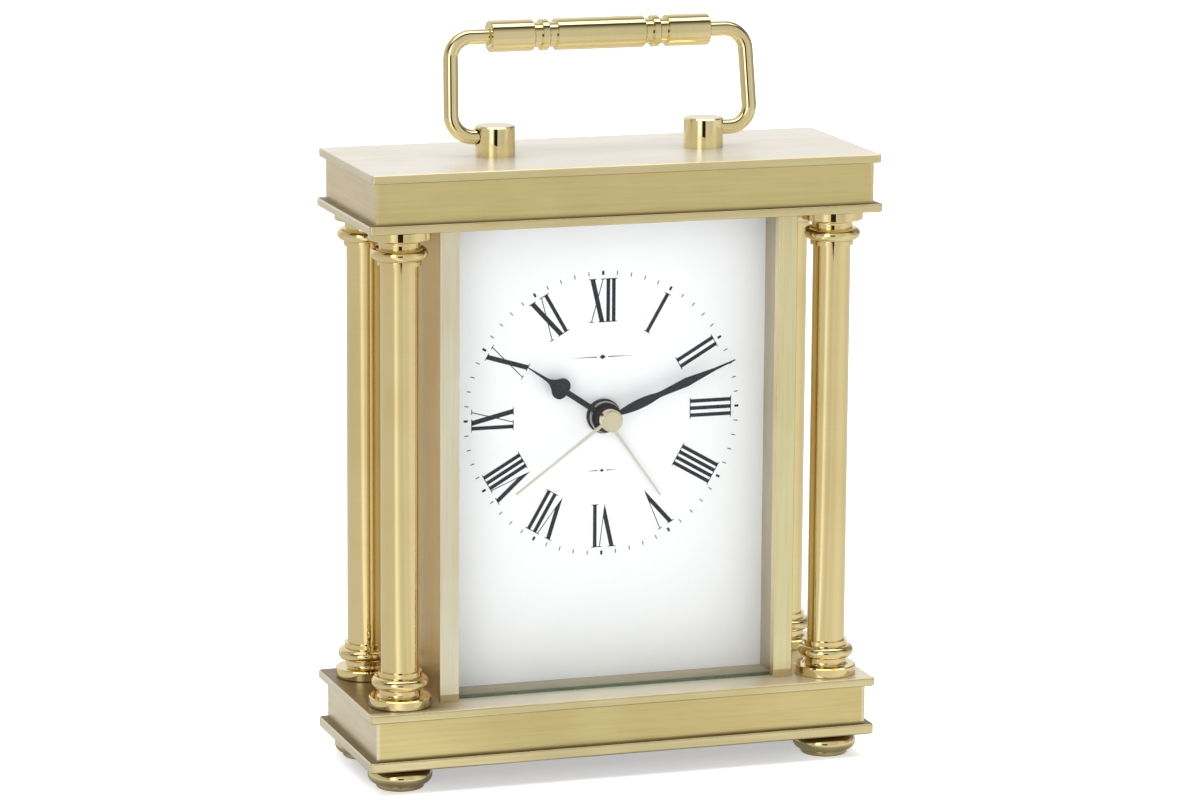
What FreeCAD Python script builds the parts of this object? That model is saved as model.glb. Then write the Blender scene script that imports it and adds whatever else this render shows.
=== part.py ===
import FreeCAD, Part
import Sketcher
import math
import os
import re

# Four-pillar carriage clock with a battery alarm movement.  Millimetres.
# +X is to the right of a person facing the dial, -Y is the dial side, +Z is up.
# The origin is on the ground, below the centre of the plates.

SIZES = {
    # plates, from the ground up
    "bottom_plate_width": 113.0, "bottom_plate_depth": 41.5, "bottom_plate_thick": 2.3,
    "base_plate_width": 113.0, "base_plate_depth": 42.3, "base_plate_thick": 1.9,
    "cornice_width": 113.0, "cornice_depth": 41.8, "cornice_thick": 1.85,
    "top_plate_width": 112.0, "top_plate_depth": 42.0, "top_plate_thick": 1.85,
    "plate_corner": 0.8, "plate_edge": 0.45, "crisp_edge": 0.15,
    # the two hollow bands between plates
    "band_width": 109.6, "band_depth": 38.5, "base_band_height": 8.45,
    "frieze_height": 8.75, "side_band_thick": 0.7, "front_band_thick": 1.2,
    # pillars
    "pillar_x": 47.9, "pillar_y": 13.04, "pillar_height": 101.6, "shaft_radius": 4.05,
    "disc_radius": 6.6, "disc_height": 2.1, "turned_edge": 0.2,
    "neck_seat": 4.95, "neck_radius": 4.4, "neck_height": 3.1,
    "torus_seat": 4.96, "torus_radius": 1.32, "torus_low": 3.8, "torus_high": 6.4,
    "ring_radius": 4.65, "ring_low": 6.65, "ring_high": 7.5,
    # feet
    "foot_height": 5.1, "foot_pad_radius": 5.05, "foot_pad_height": 0.8, "foot_groove": 4.75,
    "foot_torus_low": 1.0, "foot_torus_high": 4.6, "foot_torus_seat": 5.35,
    "foot_torus_radius": 1.83, "foot_recess_radius": 2.8, "foot_recess_depth": 2.9,
    # fasteners
    "screw_radius": 1.25, "screw_clearance": 1.45, "screw_head_radius": 2.4,
    "screw_head_height": 1.3, "slot_width": 0.5, "slot_depth": 0.6,
    "foot_screw_length": 27.0, "cornice_screw_length": 9.0,
    "post_screw_length": 3.9, "back_screw_length": 2.6,
    # glazed case between the base plate and the cornice plate
    "case_half_width": 39.6, "wall_inner": 36.5, "lip_inner": 35.3,
    "case_front": 14.66, "lip_back": 12.6, "glass_thick": 2.0, "groove_depth": 0.6,
    "dial_front": 3.3, "dial_thick": 0.8, "case_edge": 0.3,
    "back_plate_face": 13.2, "back_plate_thick": 1.4, "flange_inner": 31.5,
    "flange_thick": 1.4, "back_screw_x": 35.5, "back_screw_inset": 8.0,
    # carrying handle
    "post_x": 23.2, "post_radius": 4.25, "post_height": 6.4, "post_edge": 0.3,
    "pivot_height": 4.1, "pivot_radius": 1.66, "pivot_depth": 7.05, "pivot_mouth_radius": 2.0,
    "pivot_mouth_depth": 0.55,
    "wire_radius": 1.6, "wire_end": 21.2, "bail_half_width": 33.35, "bail_rise": 20.9,
    "bail_bend": 4.6, "bail_splay": 1.8, "bail_lean": 8.0,
    "bail_play": 0.5, "grip_radius": 3.4, "grip_groove": 2.7, "grip_barrel": 19.7,
    "grip_ring": 1.65, "grip_sleeve": 9.5, "grip_mouth": 0.7,
    # hands: height of the dial centre, then lengths, widths and angles from twelve
    "dial_centre": 57.5, "hour_length": 21.1, "minute_length": 30.8,
    "second_length": 25.6, "alarm_length": 21.9,
    "hour_angle": 303.9, "minute_angle": 68.7, "second_angle": 233.9, "alarm_angle": 144.6,
    "hand_thick": 0.3, "hour_hub": 3.2, "minute_hub": 2.7, "alarm_hub": 3.4,
    "second_hub": 1.3,
    # coaxial tubes at the dial centre
    "nut_radius": 3.7, "nut_thick": 0.9, "tube_outer": 3.0, "tube_inner": 2.6,
    "alarm_pipe_outer": 2.55, "alarm_pipe_inner": 2.15, "hour_pipe_outer": 2.1,
    "hour_pipe_inner": 1.7, "minute_pipe_outer": 1.65, "minute_pipe_inner": 0.6,
    "second_arbor": 0.55, "cap_radius": 2.4, "cap_height": 2.1,
    # movement housing, square, clamped behind the dial
    "movement_side": 56.0, "movement_front": 2.5, "movement_seam": 5.0,
    "movement_rear": 14.1, "shell_thick": 1.2, "shell_corner": 2.0,
    "arbor_radius": 0.5, "bearing_radius": 0.55, "boss_radius": 1.1, "boss_start": 9.9,
    # cell and its trough
    "cell_radius": 7.1, "cell_length": 49.2, "cell_button_radius": 2.7,
    "cell_button": 1.0, "cell_edge": 0.6, "cell_drop": 18.9, "cell_y": 6.8,
    "trough_half_length": 26.2, "trough_half_height": 7.25, "trough_wall": 0.6,
    # gears
    "gear_thick": 0.8,
}

doc = FreeCAD.newDocument("carriage_clock")
sheet = doc.addObject("Spreadsheet::Sheet", "Sizes")
for row, (alias, number) in enumerate(SIZES.items(), start=1):
    sheet.set(f"A{row}", alias.replace("_", " "))
    sheet.set(f"B{row}", str(number))
    sheet.setAlias(f"B{row}", alias)
doc.recompute()

SUB_PARTS = []
Vector = FreeCAD.Vector
NO_TURN = FreeCAD.Rotation()
ALONG_Y = FreeCAD.Rotation(Vector(1, 0, 0), -90)
ALONG_X = FreeCAD.Rotation(Vector(0, 1, 0), 90)


# ---------------------------------------------------------------- sheet and document helpers

def bound(expression):
    """The same expression with every alias written as a reference to the sheet."""
    return re.sub(r"[a-z][a-z_]+", lambda w: f"Sizes.{w[0]}" if w[0] in SIZES else w[0], expression)


def value(expression):
    return float(sheet.evalExpression(bound(expression)))


def bind(thing, **expressions):
    """Bind properties such as Length or Radius to expressions over the sheet."""
    for name, expression in expressions.items():
        thing.setExpression(name, bound(expression))


def put(thing, x="0", y="0", z="0", turn=NO_TURN):
    """Set a Placement whose position stays bound to the sheet."""
    thing.Placement = FreeCAD.Placement(Vector(value(x), value(y), value(z)), turn)
    for axis, expression in (("x", x), ("y", y), ("z", z)):
        if not re.fullmatch(r"[-\d. ]+", expression):
            thing.setExpression(f"Placement.Base.{axis}", bound(expression))
    return thing


def sub_part(thing, label):
    """Register a document object as a named physical piece."""
    thing.Label = label
    SUB_PARTS.append(thing)
    return thing


# ---------------------------------------------------------------- sketch helpers

def new_body(label):
    return sub_part(doc.addObject("PartDesign::Body", label + "_body"), label)


def new_sketch(body, role, name, offset=None):
    sketch = body.newObject("Sketcher::SketchObject", f"{body.Label}_{name}")
    plane = next(f for f in body.Origin.OriginFeatures if f.Role == role)
    sketch.AttachmentSupport = [(plane, "")]
    sketch.MapMode = "FlatFace"
    if offset:
        sketch.setExpression("AttachmentOffset.Base.z", bound(offset))
    return sketch


def fix_coordinate(sketch, edge, end, kind, axis, expression):
    """Hold one coordinate of an edge's end at an expression over the sheet."""
    number = value(expression)
    if abs(number) < 1e-9:
        sketch.addConstraint(Sketcher.Constraint("PointOnObject", edge, end, axis))
        return
    index = sketch.addConstraint(Sketcher.Constraint(kind, edge, end, number))
    sketch.setExpression(f"Constraints[{index}]", bound(expression))


def draw(sketch, points, closed=True):
    """Draw a chain of edges, each vertex held by expressions.

    A point is (x, y), or (x, y, radius) when an arc leads from it to the next point.
    A positive radius bulges to the left of the direction of travel.
    """
    corners = [Vector(value(p[0]), value(p[1]), 0) for p in points]
    first_edge = sketch.GeometryCount
    count = len(points) if closed else len(points) - 1
    starts = []
    arcs = []
    for i in range(count):
        a = corners[i]
        b = corners[(i + 1) % len(points)]
        if len(points[i]) == 2:
            sketch.addGeometry(Part.LineSegment(a, b))
            starts.append(1)
            continue
        radius = value(points[i][2])
        chord = b - a
        reach = math.sqrt(max(radius ** 2 - (chord.Length / 2) ** 2, 0))
        left = Vector(-chord.y, chord.x, 0).normalize()
        centre = (a + b) / 2 - left * math.copysign(reach, radius)
        ends = (b, a) if radius > 0 else (a, b)
        angles = [math.atan2(p.y - centre.y, p.x - centre.x) for p in ends]
        if angles[1] < angles[0]:
            angles[1] += 2 * math.pi
        circle = Part.Circle(centre, Vector(0, 0, 1), abs(radius))
        sketch.addGeometry(Part.ArcOfCircle(circle, *angles))
        starts.append(2 if radius > 0 else 1)
        arcs.append((i, points[i][2]))
    for i in range(count if closed else count - 1):
        j = (i + 1) % count
        joint = Sketcher.Constraint(
            "Coincident", first_edge + i, 3 - starts[i], first_edge + j, starts[j])
        sketch.addConstraint(joint)
    for i, point in enumerate(points):
        edge = min(i, count - 1)
        end = starts[edge] if i < count else 3 - starts[edge]
        fix_coordinate(sketch, first_edge + edge, end, "DistanceX", -2, point[0])
        fix_coordinate(sketch, first_edge + edge, end, "DistanceY", -1, point[1])
    for i, radius in arcs:
        number = abs(value(radius))
        index = sketch.addConstraint(Sketcher.Constraint("Radius", first_edge + i, number))
        sketch.setExpression(f"Constraints[{index}]", bound(f"abs({radius})"))


def draw_rectangle(sketch, x0, y0, x1, y1):
    draw(sketch, [(x0, y0), (x1, y0), (x1, y1), (x0, y1)])


def draw_circle(sketch, x, y, radius):
    edge = sketch.addGeometry(
        Part.Circle(Vector(value(x), value(y), 0), Vector(0, 0, 1), value(radius)))
    fix_coordinate(sketch, edge, 3, "DistanceX", -2, x)
    fix_coordinate(sketch, edge, 3, "DistanceY", -1, y)
    index = sketch.addConstraint(Sketcher.Constraint("Radius", edge, value(radius)))
    sketch.setExpression(f"Constraints[{index}]", bound(radius))


def pad(body, sketch, length, backward=False):
    doc.recompute()
    feature = body.newObject("PartDesign::Pad", sketch.Name + "_pad")
    feature.Profile = sketch
    feature.Reversed = backward
    bind(feature, Length=length)
    doc.recompute()
    return feature


def revolve(body, sketch, axis):
    doc.recompute()
    feature = body.newObject("PartDesign::Revolution", sketch.Name + "_turned")
    feature.Profile = sketch
    feature.ReferenceAxis = (sketch, [axis])
    doc.recompute()
    return feature


def dress(body, kind, base, wanted, radius):
    """Fillet or chamfer the edges of base that the test wanted(edge) accepts."""
    edges = [f"Edge{i}" for i, e in enumerate(base.Shape.Edges, start=1) if wanted(e)]
    feature = body.newObject(f"PartDesign::{kind}", f"{base.Name}_{kind.lower()}")
    feature.Base = (base, edges)
    bind(feature, **{"Radius" if kind == "Fillet" else "Size": radius})
    doc.recompute()
    return feature


def is_upright(edge):
    box = edge.BoundBox
    return box.ZLength > 0.5 and box.XLength < 1e-6 and box.YLength < 1e-6


# ---------------------------------------------------------------- solid helpers

def box(name, x, y, z, length, width, height):
    solid = doc.addObject("Part::Box", name)
    bind(solid, Length=length, Width=width, Height=height)
    return put(solid, x, y, z)


def rod(name, x, y, z, radius, length, turn=ALONG_Y):
    """A cylinder that starts at x, y, z and runs along +Y unless turned another way."""
    solid = doc.addObject("Part::Cylinder", name)
    bind(solid, Radius=radius, Height=length)
    return put(solid, x, y, z, turn)


def fuse(name, solids):
    joined = doc.addObject("Part::MultiFuse", name)
    joined.Shapes = solids
    joined.Refine = True
    return joined


def cut(name, base, tools):
    tool = tools[0] if len(tools) == 1 else fuse(name + "_tools", tools)
    result = doc.addObject("Part::Cut", name)
    result.Base = base
    result.Tool = tool
    return result


def group(name, solids):
    compound = doc.addObject("Part::Compound", name)
    compound.Links = solids
    return compound


def slotted_screw(name, x, y, z, length, turn=NO_TURN):
    """A cheese-head screw: head underside at x, y, z, shank running along the turned +Z."""
    here = FreeCAD.Placement(Vector(value(x), value(y), value(z)), turn)
    shank = rod(name + "_shank", "0", "0", "0", "screw_radius", length, NO_TURN)
    head = rod(name + "_head", "0", "0", "-screw_head_height", "screw_head_radius",
               "screw_head_height", NO_TURN)
    slot = box(name + "_slot", "-screw_head_radius - 1", "-slot_width / 2",
               "-screw_head_height - 1", "2 * screw_head_radius + 2", "slot_width",
               "slot_depth + 1")
    screw = cut(name, fuse(name + "_blank", [shank, head]), [slot])
    screw.Placement = here
    return screw


# ---------------------------------------------------------------- levels and shared places

BAND_LEVEL = "foot_height + bottom_plate_thick"
BASE_LEVEL = BAND_LEVEL + " + base_band_height"
FLOOR = BASE_LEVEL + " + base_plate_thick"
CORNICE_LEVEL = FLOOR + " + pillar_height"
FRIEZE_LEVEL = CORNICE_LEVEL + " + cornice_thick"
TOP_LEVEL = FRIEZE_LEVEL + " + frieze_height"
ROOF = TOP_LEVEL + " + top_plate_thick"
CENTRE = FLOOR + " + dial_centre"
PIVOT = ROOF + " + pivot_height"

CORNERS = {
    f"{depth}_{side}": (f"{x}pillar_x", f"{y}pillar_y")
    for depth, y in (("front", "-"), ("back", ""))
    for side, x in (("left", "-"), ("right", ""))
}


# ---------------------------------------------------------------- plates and bands

def plate(label, stem, level, holes, edge_kind, edge_size):
    """A flat plate with rounded corners, dressed edges and clearance holes."""
    body = new_body(label)
    sketch = new_sketch(body, "XY_Plane", "outline")
    draw_rectangle(sketch, f"-{stem}_width / 2", f"-{stem}_depth / 2",
                   f"{stem}_width / 2", f"{stem}_depth / 2")
    for x, y in holes:
        draw_circle(sketch, x, y, "screw_clearance")
    blank = pad(body, sketch, f"{stem}_thick")
    rounded = dress(body, "Fillet", blank, is_upright, "plate_corner")
    half = value(f"{stem}_width / 2")
    reach = value(f"{stem}_depth / 2")

    def is_rim(edge):
        middle = edge.valueAt((edge.FirstParameter + edge.LastParameter) / 2)
        outside = abs(middle.x) > half - 0.5 or abs(middle.y) > reach - 0.5
        return outside and edge.BoundBox.ZLength < 1e-6

    dress(body, edge_kind, rounded, is_rim, edge_size)
    put(body, z=level)


def bands(stem, level, height):
    """Four flat strips: the side strips run the full depth, the others fit between them."""
    inside = "band_width / 2 - side_band_thick"
    for side, x in (("left", "-band_width / 2"), ("right", inside)):
        strip = box(f"{stem}_{side}_strip", x, "-band_depth / 2", level,
                    "side_band_thick", "band_depth", height)
        sub_part(strip, f"{stem}_{side}")
    for side, y in (("front", "-band_depth / 2"), ("back", "band_depth / 2 - front_band_thick")):
        strip = box(f"{stem}_{side}_strip", f"-({inside})", y, level,
                    f"2 * ({inside})", "front_band_thick", height)
        sub_part(strip, f"{stem}_{side}")


# ---------------------------------------------------------------- pillars and feet

def pillar_end():
    """Radius and height of a pillar's turned base, from its flat end up to the shaft."""
    return [
        ("disc_radius - turned_edge", "0"),
        ("disc_radius", "turned_edge"),
        ("disc_radius", "disc_height - turned_edge"),
        ("disc_radius - turned_edge", "disc_height"),
        ("neck_seat", "disc_height", "0.95"),
        ("neck_radius", "neck_height"),
        ("neck_radius", "torus_low"),
        ("torus_seat", "torus_low", "-torus_radius"),
        ("torus_seat", "torus_high"),
        ("neck_radius", "torus_high"),
        ("neck_radius", "ring_low"),
        ("ring_radius", "ring_low"),
        ("ring_radius", "ring_high"),
        ("shaft_radius", "ring_high"),
    ]


def upside_down(points, height):
    """The same chain of points turned end for end within a given height."""
    flipped = []
    for i in range(len(points) - 1, -1, -1):
        radius, level = points[i][:2]
        arc = points[i - 1][2:] if i else ()
        flipped.append((radius, f"{height} - ({level})") + arc)
    return flipped


def pillar(label, x, y):
    body = new_body(label)
    sketch = new_sketch(body, "XZ_Plane", "profile")
    base = pillar_end()
    bore = "screw_radius"
    deep = "foot_screw_length - foot_height - 4.5"
    top_deep = "cornice_screw_length"
    low_hole = [("0", deep), (bore, deep), (bore, "0")]
    high_hole = [(bore, "pillar_height"), (bore, f"pillar_height - {top_deep}"),
                 ("0", f"pillar_height - {top_deep}")]
    draw(sketch, low_hole + base + upside_down(base, "pillar_height") + high_hole)
    revolve(body, sketch, "V_Axis")
    put(body, x, y, FLOOR)


def foot(label, x, y):
    body = new_body(label)
    sketch = new_sketch(body, "XZ_Plane", "profile")
    draw(sketch, [
        ("foot_recess_radius", "0"),
        ("foot_pad_radius - turned_edge", "0"),
        ("foot_pad_radius", "turned_edge"),
        ("foot_pad_radius", "foot_pad_height"),
        ("foot_groove", "foot_pad_height"),
        ("foot_groove", "foot_torus_low"),
        ("foot_torus_seat", "foot_torus_low", "-foot_torus_radius"),
        ("foot_torus_seat", "foot_torus_high"),
        ("foot_torus_seat", "foot_height"),
        ("screw_clearance", "foot_height"),
        ("screw_clearance", "foot_recess_depth"),
        ("foot_recess_radius", "foot_recess_depth"),
    ])
    revolve(body, sketch, "V_Axis")
    put(body, x, y, "0")


# ---------------------------------------------------------------- case, glass, dial, back

def case_wall(label, side):
    """One brass side of the case with front lip, glass and dial grooves and rear flange."""
    body = new_body(label)
    sketch = new_sketch(body, "XY_Plane", "section")
    groove = "wall_inner + groove_depth"
    glass_back = "-lip_back + glass_thick"
    dial_back = "-dial_front + dial_thick"
    flange = "back_plate_face - flange_thick"
    section = [
        ("lip_inner", "-case_front"), ("case_half_width", "-case_front"),
        ("case_half_width", "back_plate_face"), ("flange_inner", "back_plate_face"),
        ("flange_inner", flange), ("wall_inner", flange),
        ("wall_inner", dial_back), (groove, dial_back),
        (groove, "-dial_front"), ("wall_inner", "-dial_front"),
        ("wall_inner", glass_back), (groove, glass_back),
        (groove, "-lip_back"), ("lip_inner", "-lip_back"),
    ]
    draw(sketch, [(f"{side}({x})", y) for x, y in section])
    blank = pad(body, sketch, "pillar_height")
    front = value("-case_front")

    def is_front_corner(edge):
        return is_upright(edge) and abs(edge.BoundBox.YMin - front) < 1e-6

    softened = dress(body, "Fillet", blank, is_front_corner, "case_edge")
    holes = new_sketch(body, "XZ_Plane", "screw_holes", "-back_plate_face")
    for height in ("back_screw_inset", "pillar_height - back_screw_inset"):
        draw_circle(holes, f"{side}back_screw_x", height, "screw_radius")
    doc.recompute()
    drilled = body.newObject("PartDesign::Pocket", f"{label}_drilled")
    drilled.Profile = holes
    bind(drilled, Length="back_screw_length - back_plate_thick")
    drilled.Reversed = True
    doc.recompute()
    if drilled.Shape.Volume > softened.Shape.Volume - 1:
        drilled.Reversed = False
        doc.recompute()
    put(body, z=FLOOR)


def pane(label, y, thick, hole=None):
    """A rectangular pane held in the walls' grooves."""
    body = new_body(label)
    sketch = new_sketch(body, "XZ_Plane", "outline")
    half = "wall_inner + groove_depth - 0.05"
    draw_rectangle(sketch, f"-({half})", "0.05", half, "pillar_height - 0.05")
    if hole:
        draw_circle(sketch, "0", "dial_centre", hole)
    blank = pad(body, sketch, thick)
    dress(body, "Chamfer", blank, lambda e: e.BoundBox.DiagonalLength > 60, "0.12")
    put(body, y=y, z=FLOOR)


def back_plate():
    body = new_body("back_plate")
    sketch = new_sketch(body, "XZ_Plane", "outline")
    opening = "movement_side / 2 + 0.5"
    draw_rectangle(sketch, "-case_half_width", "0.05", "case_half_width", "pillar_height - 0.05")
    draw_rectangle(sketch, f"-({opening})", f"dial_centre - ({opening})",
                   opening, f"dial_centre + {opening}")
    for x in ("-back_screw_x", "back_screw_x"):
        for height in ("back_screw_inset", "pillar_height - back_screw_inset"):
            draw_circle(sketch, x, height, "screw_radius + 0.05")
    blank = pad(body, sketch, "back_plate_thick")
    dress(body, "Chamfer", blank, lambda e: e.BoundBox.DiagonalLength > 50, "crisp_edge")
    put(body, y="back_plate_face + back_plate_thick", z=FLOOR)


# ---------------------------------------------------------------- handle

def handle_post(label, side):
    """Turned post with a pivot bore in its outer flank and a screw hole below."""
    body = new_body(label)
    sketch = new_sketch(body, "XZ_Plane", "profile")
    tapped = "post_screw_length - top_plate_thick"
    draw(sketch, [
        ("screw_radius", "0"), ("post_radius", "0"),
        ("post_radius", "post_height - post_edge"),
        ("post_radius - post_edge", "post_height"), ("0", "post_height"),
        ("0", tapped), ("screw_radius", tapped),
    ])
    turned = revolve(body, sketch, "V_Axis")
    bore = new_sketch(body, "YZ_Plane", "pivot", f"{side}(post_radius - pivot_depth)")
    draw_circle(bore, "0", "pivot_height", "pivot_radius")
    doc.recompute()
    pivot = body.newObject("PartDesign::Pocket", f"{label}_pivot")
    pivot.Profile = bore
    pivot.Reversed = side == ""
    bind(pivot, Length="pivot_depth + 1")
    doc.recompute()
    if pivot.Shape.Volume > turned.Shape.Volume - 20:
        raise RuntimeError(f"{label}: the pivot bore cut too little")
    mouth = new_sketch(body, "YZ_Plane", "mouth", f"{side}(post_radius - pivot_mouth_depth)")
    draw_circle(mouth, "0", "pivot_height", "pivot_mouth_radius")
    doc.recompute()
    relief = body.newObject("PartDesign::Pocket", f"{label}_relief")
    relief.Profile = mouth
    relief.Reversed = side == ""
    bind(relief, Length="pivot_mouth_depth + 1")
    doc.recompute()
    put(body, f"{side}post_x", "0", ROOF)


def bail():
    """Round wire bent to a loop: the ends turn inwards into the posts."""
    body = new_body("bail")
    path = new_sketch(body, "XZ_Plane", "path")
    low_turn = "bail_bend * tan((90 + bail_splay) / 2 * 1 deg)"
    high_turn = "bail_bend * tan((90 - bail_splay) / 2 * 1 deg)"
    high_x = "bail_half_width - bail_rise * tan(bail_splay * 1 deg)"
    lean_x = "sin(bail_splay * 1 deg)"
    lean_z = "cos(bail_splay * 1 deg)"
    left = [
        ("wire_end", "0"),
        (f"bail_half_width - {low_turn}", "0", "bail_bend"),
        (f"bail_half_width - {low_turn} * {lean_x}", f"{low_turn} * {lean_z}"),
        (f"{high_x} + {high_turn} * {lean_x}", f"bail_rise - {high_turn} * {lean_z}", "bail_bend"),
        (f"{high_x} - {high_turn}", "bail_rise"),
    ]
    chain = [(f"-({p[0]})",) + p[1:] for p in left]
    for i in range(len(left) - 1, -1, -1):
        arc = left[i - 1][2:] if i else ()
        chain.append(left[i][:2] + arc)
    draw(path, chain, closed=False)
    section = new_sketch(body, "YZ_Plane", "section", "-wire_end")
    draw_circle(section, "0", "0", "wire_radius")
    doc.recompute()
    wire = body.newObject("PartDesign::AdditivePipe", "bail_wire")
    wire.Profile = section
    wire.Spine = (path, [f"Edge{i + 1}" for i in range(path.GeometryCount)])
    doc.recompute()
    put(body, "bail_play", z=PIVOT, turn=LEAN)


def handle_grip():
    """Turned sleeve on the bail's top run: end sleeves, grooves and rings, centre barrel."""
    body = new_body("handle_grip")
    sketch = new_sketch(body, "XZ_Plane", "profile")
    half = "grip_barrel / 2 + 3 * grip_ring + grip_sleeve"
    lengths = ["grip_sleeve", "grip_ring", "grip_ring", "grip_ring", "grip_barrel",
               "grip_ring", "grip_ring", "grip_ring", "grip_sleeve"]
    points = [(f"-({half}) + grip_mouth", "wire_radius"),
              (f"-({half})", "wire_radius + grip_mouth")]
    start = f"-({half})"
    for i, length in enumerate(lengths):
        end = f"{start} + {length}"
        if i % 2:
            points += [(start, "grip_groove"), (end, "grip_groove")]
        else:
            points += [(start, "grip_radius - turned_edge"),
                       (f"{start} + turned_edge", "grip_radius"),
                       (f"{end} - turned_edge", "grip_radius"),
                       (end, "grip_radius - turned_edge")]
        start = end
    points += [(half, "wire_radius + grip_mouth"), (f"{half} - grip_mouth", "wire_radius")]
    draw(sketch, points)
    revolve(body, sketch, "H_Axis")
    put(body, "bail_play", "bail_rise * sin(bail_lean * 1 deg)",
        f"{PIVOT} + bail_rise * cos(bail_lean * 1 deg)", LEAN)


LEAN = FreeCAD.Rotation(Vector(-1, 0, 0), value("bail_lean"))


# ---------------------------------------------------------------- hands

def hand(label, side_points, bore, hub, face, angle):
    """A flat hand drawn pointing at twelve, then turned clockwise to its angle.

    side_points run up the right-hand side of the blade from the hub to the tip; face is
    how far the back of the hand stands in front of the dial side of the case's mid plane.
    """
    body = new_body(label)
    sketch = new_sketch(body, "XZ_Plane", "blade")
    mirrored = []
    for i in range(len(side_points) - 1, -1, -1):
        x, z = side_points[i][:2]
        arc = side_points[i - 1][2:] if i else ()
        mirrored.append((f"-({x})", z) + arc)
    draw(sketch, side_points + mirrored)
    pad(body, sketch, "hand_thick")
    disc = new_sketch(body, "XZ_Plane", "hub")
    draw_circle(disc, "0", "0", hub)
    draw_circle(disc, "0", "0", bore)
    pad(body, disc, "hand_thick")
    put(body, "0", f"-({face})", CENTRE, FreeCAD.Rotation(Vector(0, 1, 0), value(angle)))
    return body


def hands():
    hand("hour_hand", [
        ("0.62", "0.85 * hour_hub"), ("0.62", "10.5", "-1.7"), ("1.74", "13.5", "3.92"),
        ("0.35", "16.3"), ("0.12", "hour_length"),
    ], "hour_pipe_outer", "hour_hub", "5.45", "hour_angle")
    hand("minute_hand", [
        ("0.4", "0.85 * minute_hub"), ("0.55", "3.2", "-21"), ("0.6", "12.2"), ("0.62", "13.6"),
        ("0.97", "19.0"), ("0.28", "25.8"), ("0.1", "minute_length"),
    ], "minute_pipe_outer", "minute_hub", "6.5", "minute_angle")
    hand("second_hand", [
        ("0.36", "0.85 * second_hub"), ("0.17", "second_length"),
    ], "second_arbor", "second_hub", "7.55", "second_angle")
    hand("alarm_hand", [
        ("0.34", "0.85 * alarm_hub"), ("0.2", "alarm_length"),
    ], "alarm_pipe_outer", "alarm_hub", "4.6", "alarm_angle")


def second_hand_cap():
    """Domed brass button pressed over the second hand's arbor."""
    body = new_body("second_hand_cap")
    sketch = new_sketch(body, "XY_Plane", "profile")
    draw(sketch, [
        ("second_arbor", "0"), ("cap_radius - 0.2", "0"), ("cap_radius", "-0.2"),
        ("cap_radius", "-cap_height + 0.35", "-0.35"), ("cap_radius - 0.35", "-cap_height"),
        ("0", "-cap_height"), ("0", "-0.5"), ("second_arbor", "-0.5"),
    ])
    revolve(body, sketch, "V_Axis")
    put(body, "0", "-7.55 - hand_thick", CENTRE)


def dial_nut():
    """Thin round nut on the centre tube, with two spanner notches."""
    ring = cut("nut_ring", rod("nut_disc", "0", "-dial_front - nut_thick", CENTRE,
                               "nut_radius", "nut_thick"),
               [rod("nut_bore", "0", "-dial_front - nut_thick - 1", CENTRE,
                    "tube_outer", "nut_thick + 2")])
    notch = box("nut_notch", "-nut_radius - 1", "-dial_front - nut_thick - 1", f"{CENTRE} - 0.3",
                "2 * nut_radius + 2", "1.5", "0.6")
    sub_part(cut("nut", ring, [notch]), "dial_nut")


# ---------------------------------------------------------------- gear shapes

def cylinder(radius, x, z, start, end):
    base = Vector(x, start, value(CENTRE) + z)
    return Part.makeCylinder(radius, end - start, base, Vector(0, 1, 0))


def toothed(teeth, module, x, z, start, phase, pinion=False):
    """A toothed disc about an axis along Y, one gear thickness deep.

    phase is the angle, anticlockwise from +X as seen from the dial side, of one tooth.
    """
    addendum, dedendum = (0.6, 1.1) if pinion else (0.75, 1.15)
    root, middle, tip = (0.44, 0.40, 0.20) if pinion else (0.55, 0.40, 0.20)
    pitch_radius = teeth * module / 2
    flank = (
        (pitch_radius - dedendum * module, root),
        (pitch_radius, middle),
        (pitch_radius + addendum * module, tip),
    )
    half_pitch = math.pi / teeth
    corners = []
    for tooth in range(teeth):
        centre = phase + 2 * half_pitch * tooth
        for radius, share in flank:
            angle = centre - share * half_pitch
            corners.append((radius, angle))
        for radius, share in reversed(flank):
            angle = centre + share * half_pitch
            corners.append((radius, angle))
    height = value(CENTRE)
    points = [Vector(x + r * math.cos(a), start, height + z + r * math.sin(a)) for r, a in corners]
    face = Part.Face(Part.makePolygon(points + points[:1]))
    return face.extrude(Vector(0, value("gear_thick"), 0))


def meshing_phase(direction, phase, teeth, mate_teeth):
    """Phase of the mate, lying in the given direction, that puts its gap on the other's tooth."""
    pitch = 2 * math.pi / teeth
    mate_pitch = 2 * math.pi / mate_teeth
    return direction + math.pi - mate_pitch * (0.5 - (direction - phase) / pitch)


def direction_between(a, b):
    return math.atan2(b[1] - a[1], b[0] - a[0])


def polar(origin, distance, degrees):
    angle = math.radians(degrees)
    return (origin[0] + distance * math.cos(angle), origin[1] + distance * math.sin(angle))


def gear_part(label, solids, bores=()):
    """Fuse the solids of one wheel, bore it, and keep it as a document object."""
    shape = solids[0].multiFuse(solids[1:]) if len(solids) > 1 else solids[0]
    shape = shape.removeSplitter()
    for bore in bores:
        shape = shape.cut(bore)
    if shape.ShapeType == "Compound" and len(shape.Solids) == 1:
        shape = shape.Solids[0]
    feature = doc.addObject("Part::Feature", label + "_solid")
    feature.Shape = shape
    feature.Placement = FreeCAD.Placement()
    return sub_part(feature, label)


# ---------------------------------------------------------------- movement

# Layers of the gear train: where each layer's wheels start along Y.
LAYER_ALARM = -1.0
LAYER_HOUR = 0.2
LAYER_MINUTE = 1.4
LAYER_CENTRE = 2.6
LAYER_THIRD = 3.8
LAYER_SECOND = 5.0
LAYER_STEP = 6.2

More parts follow.
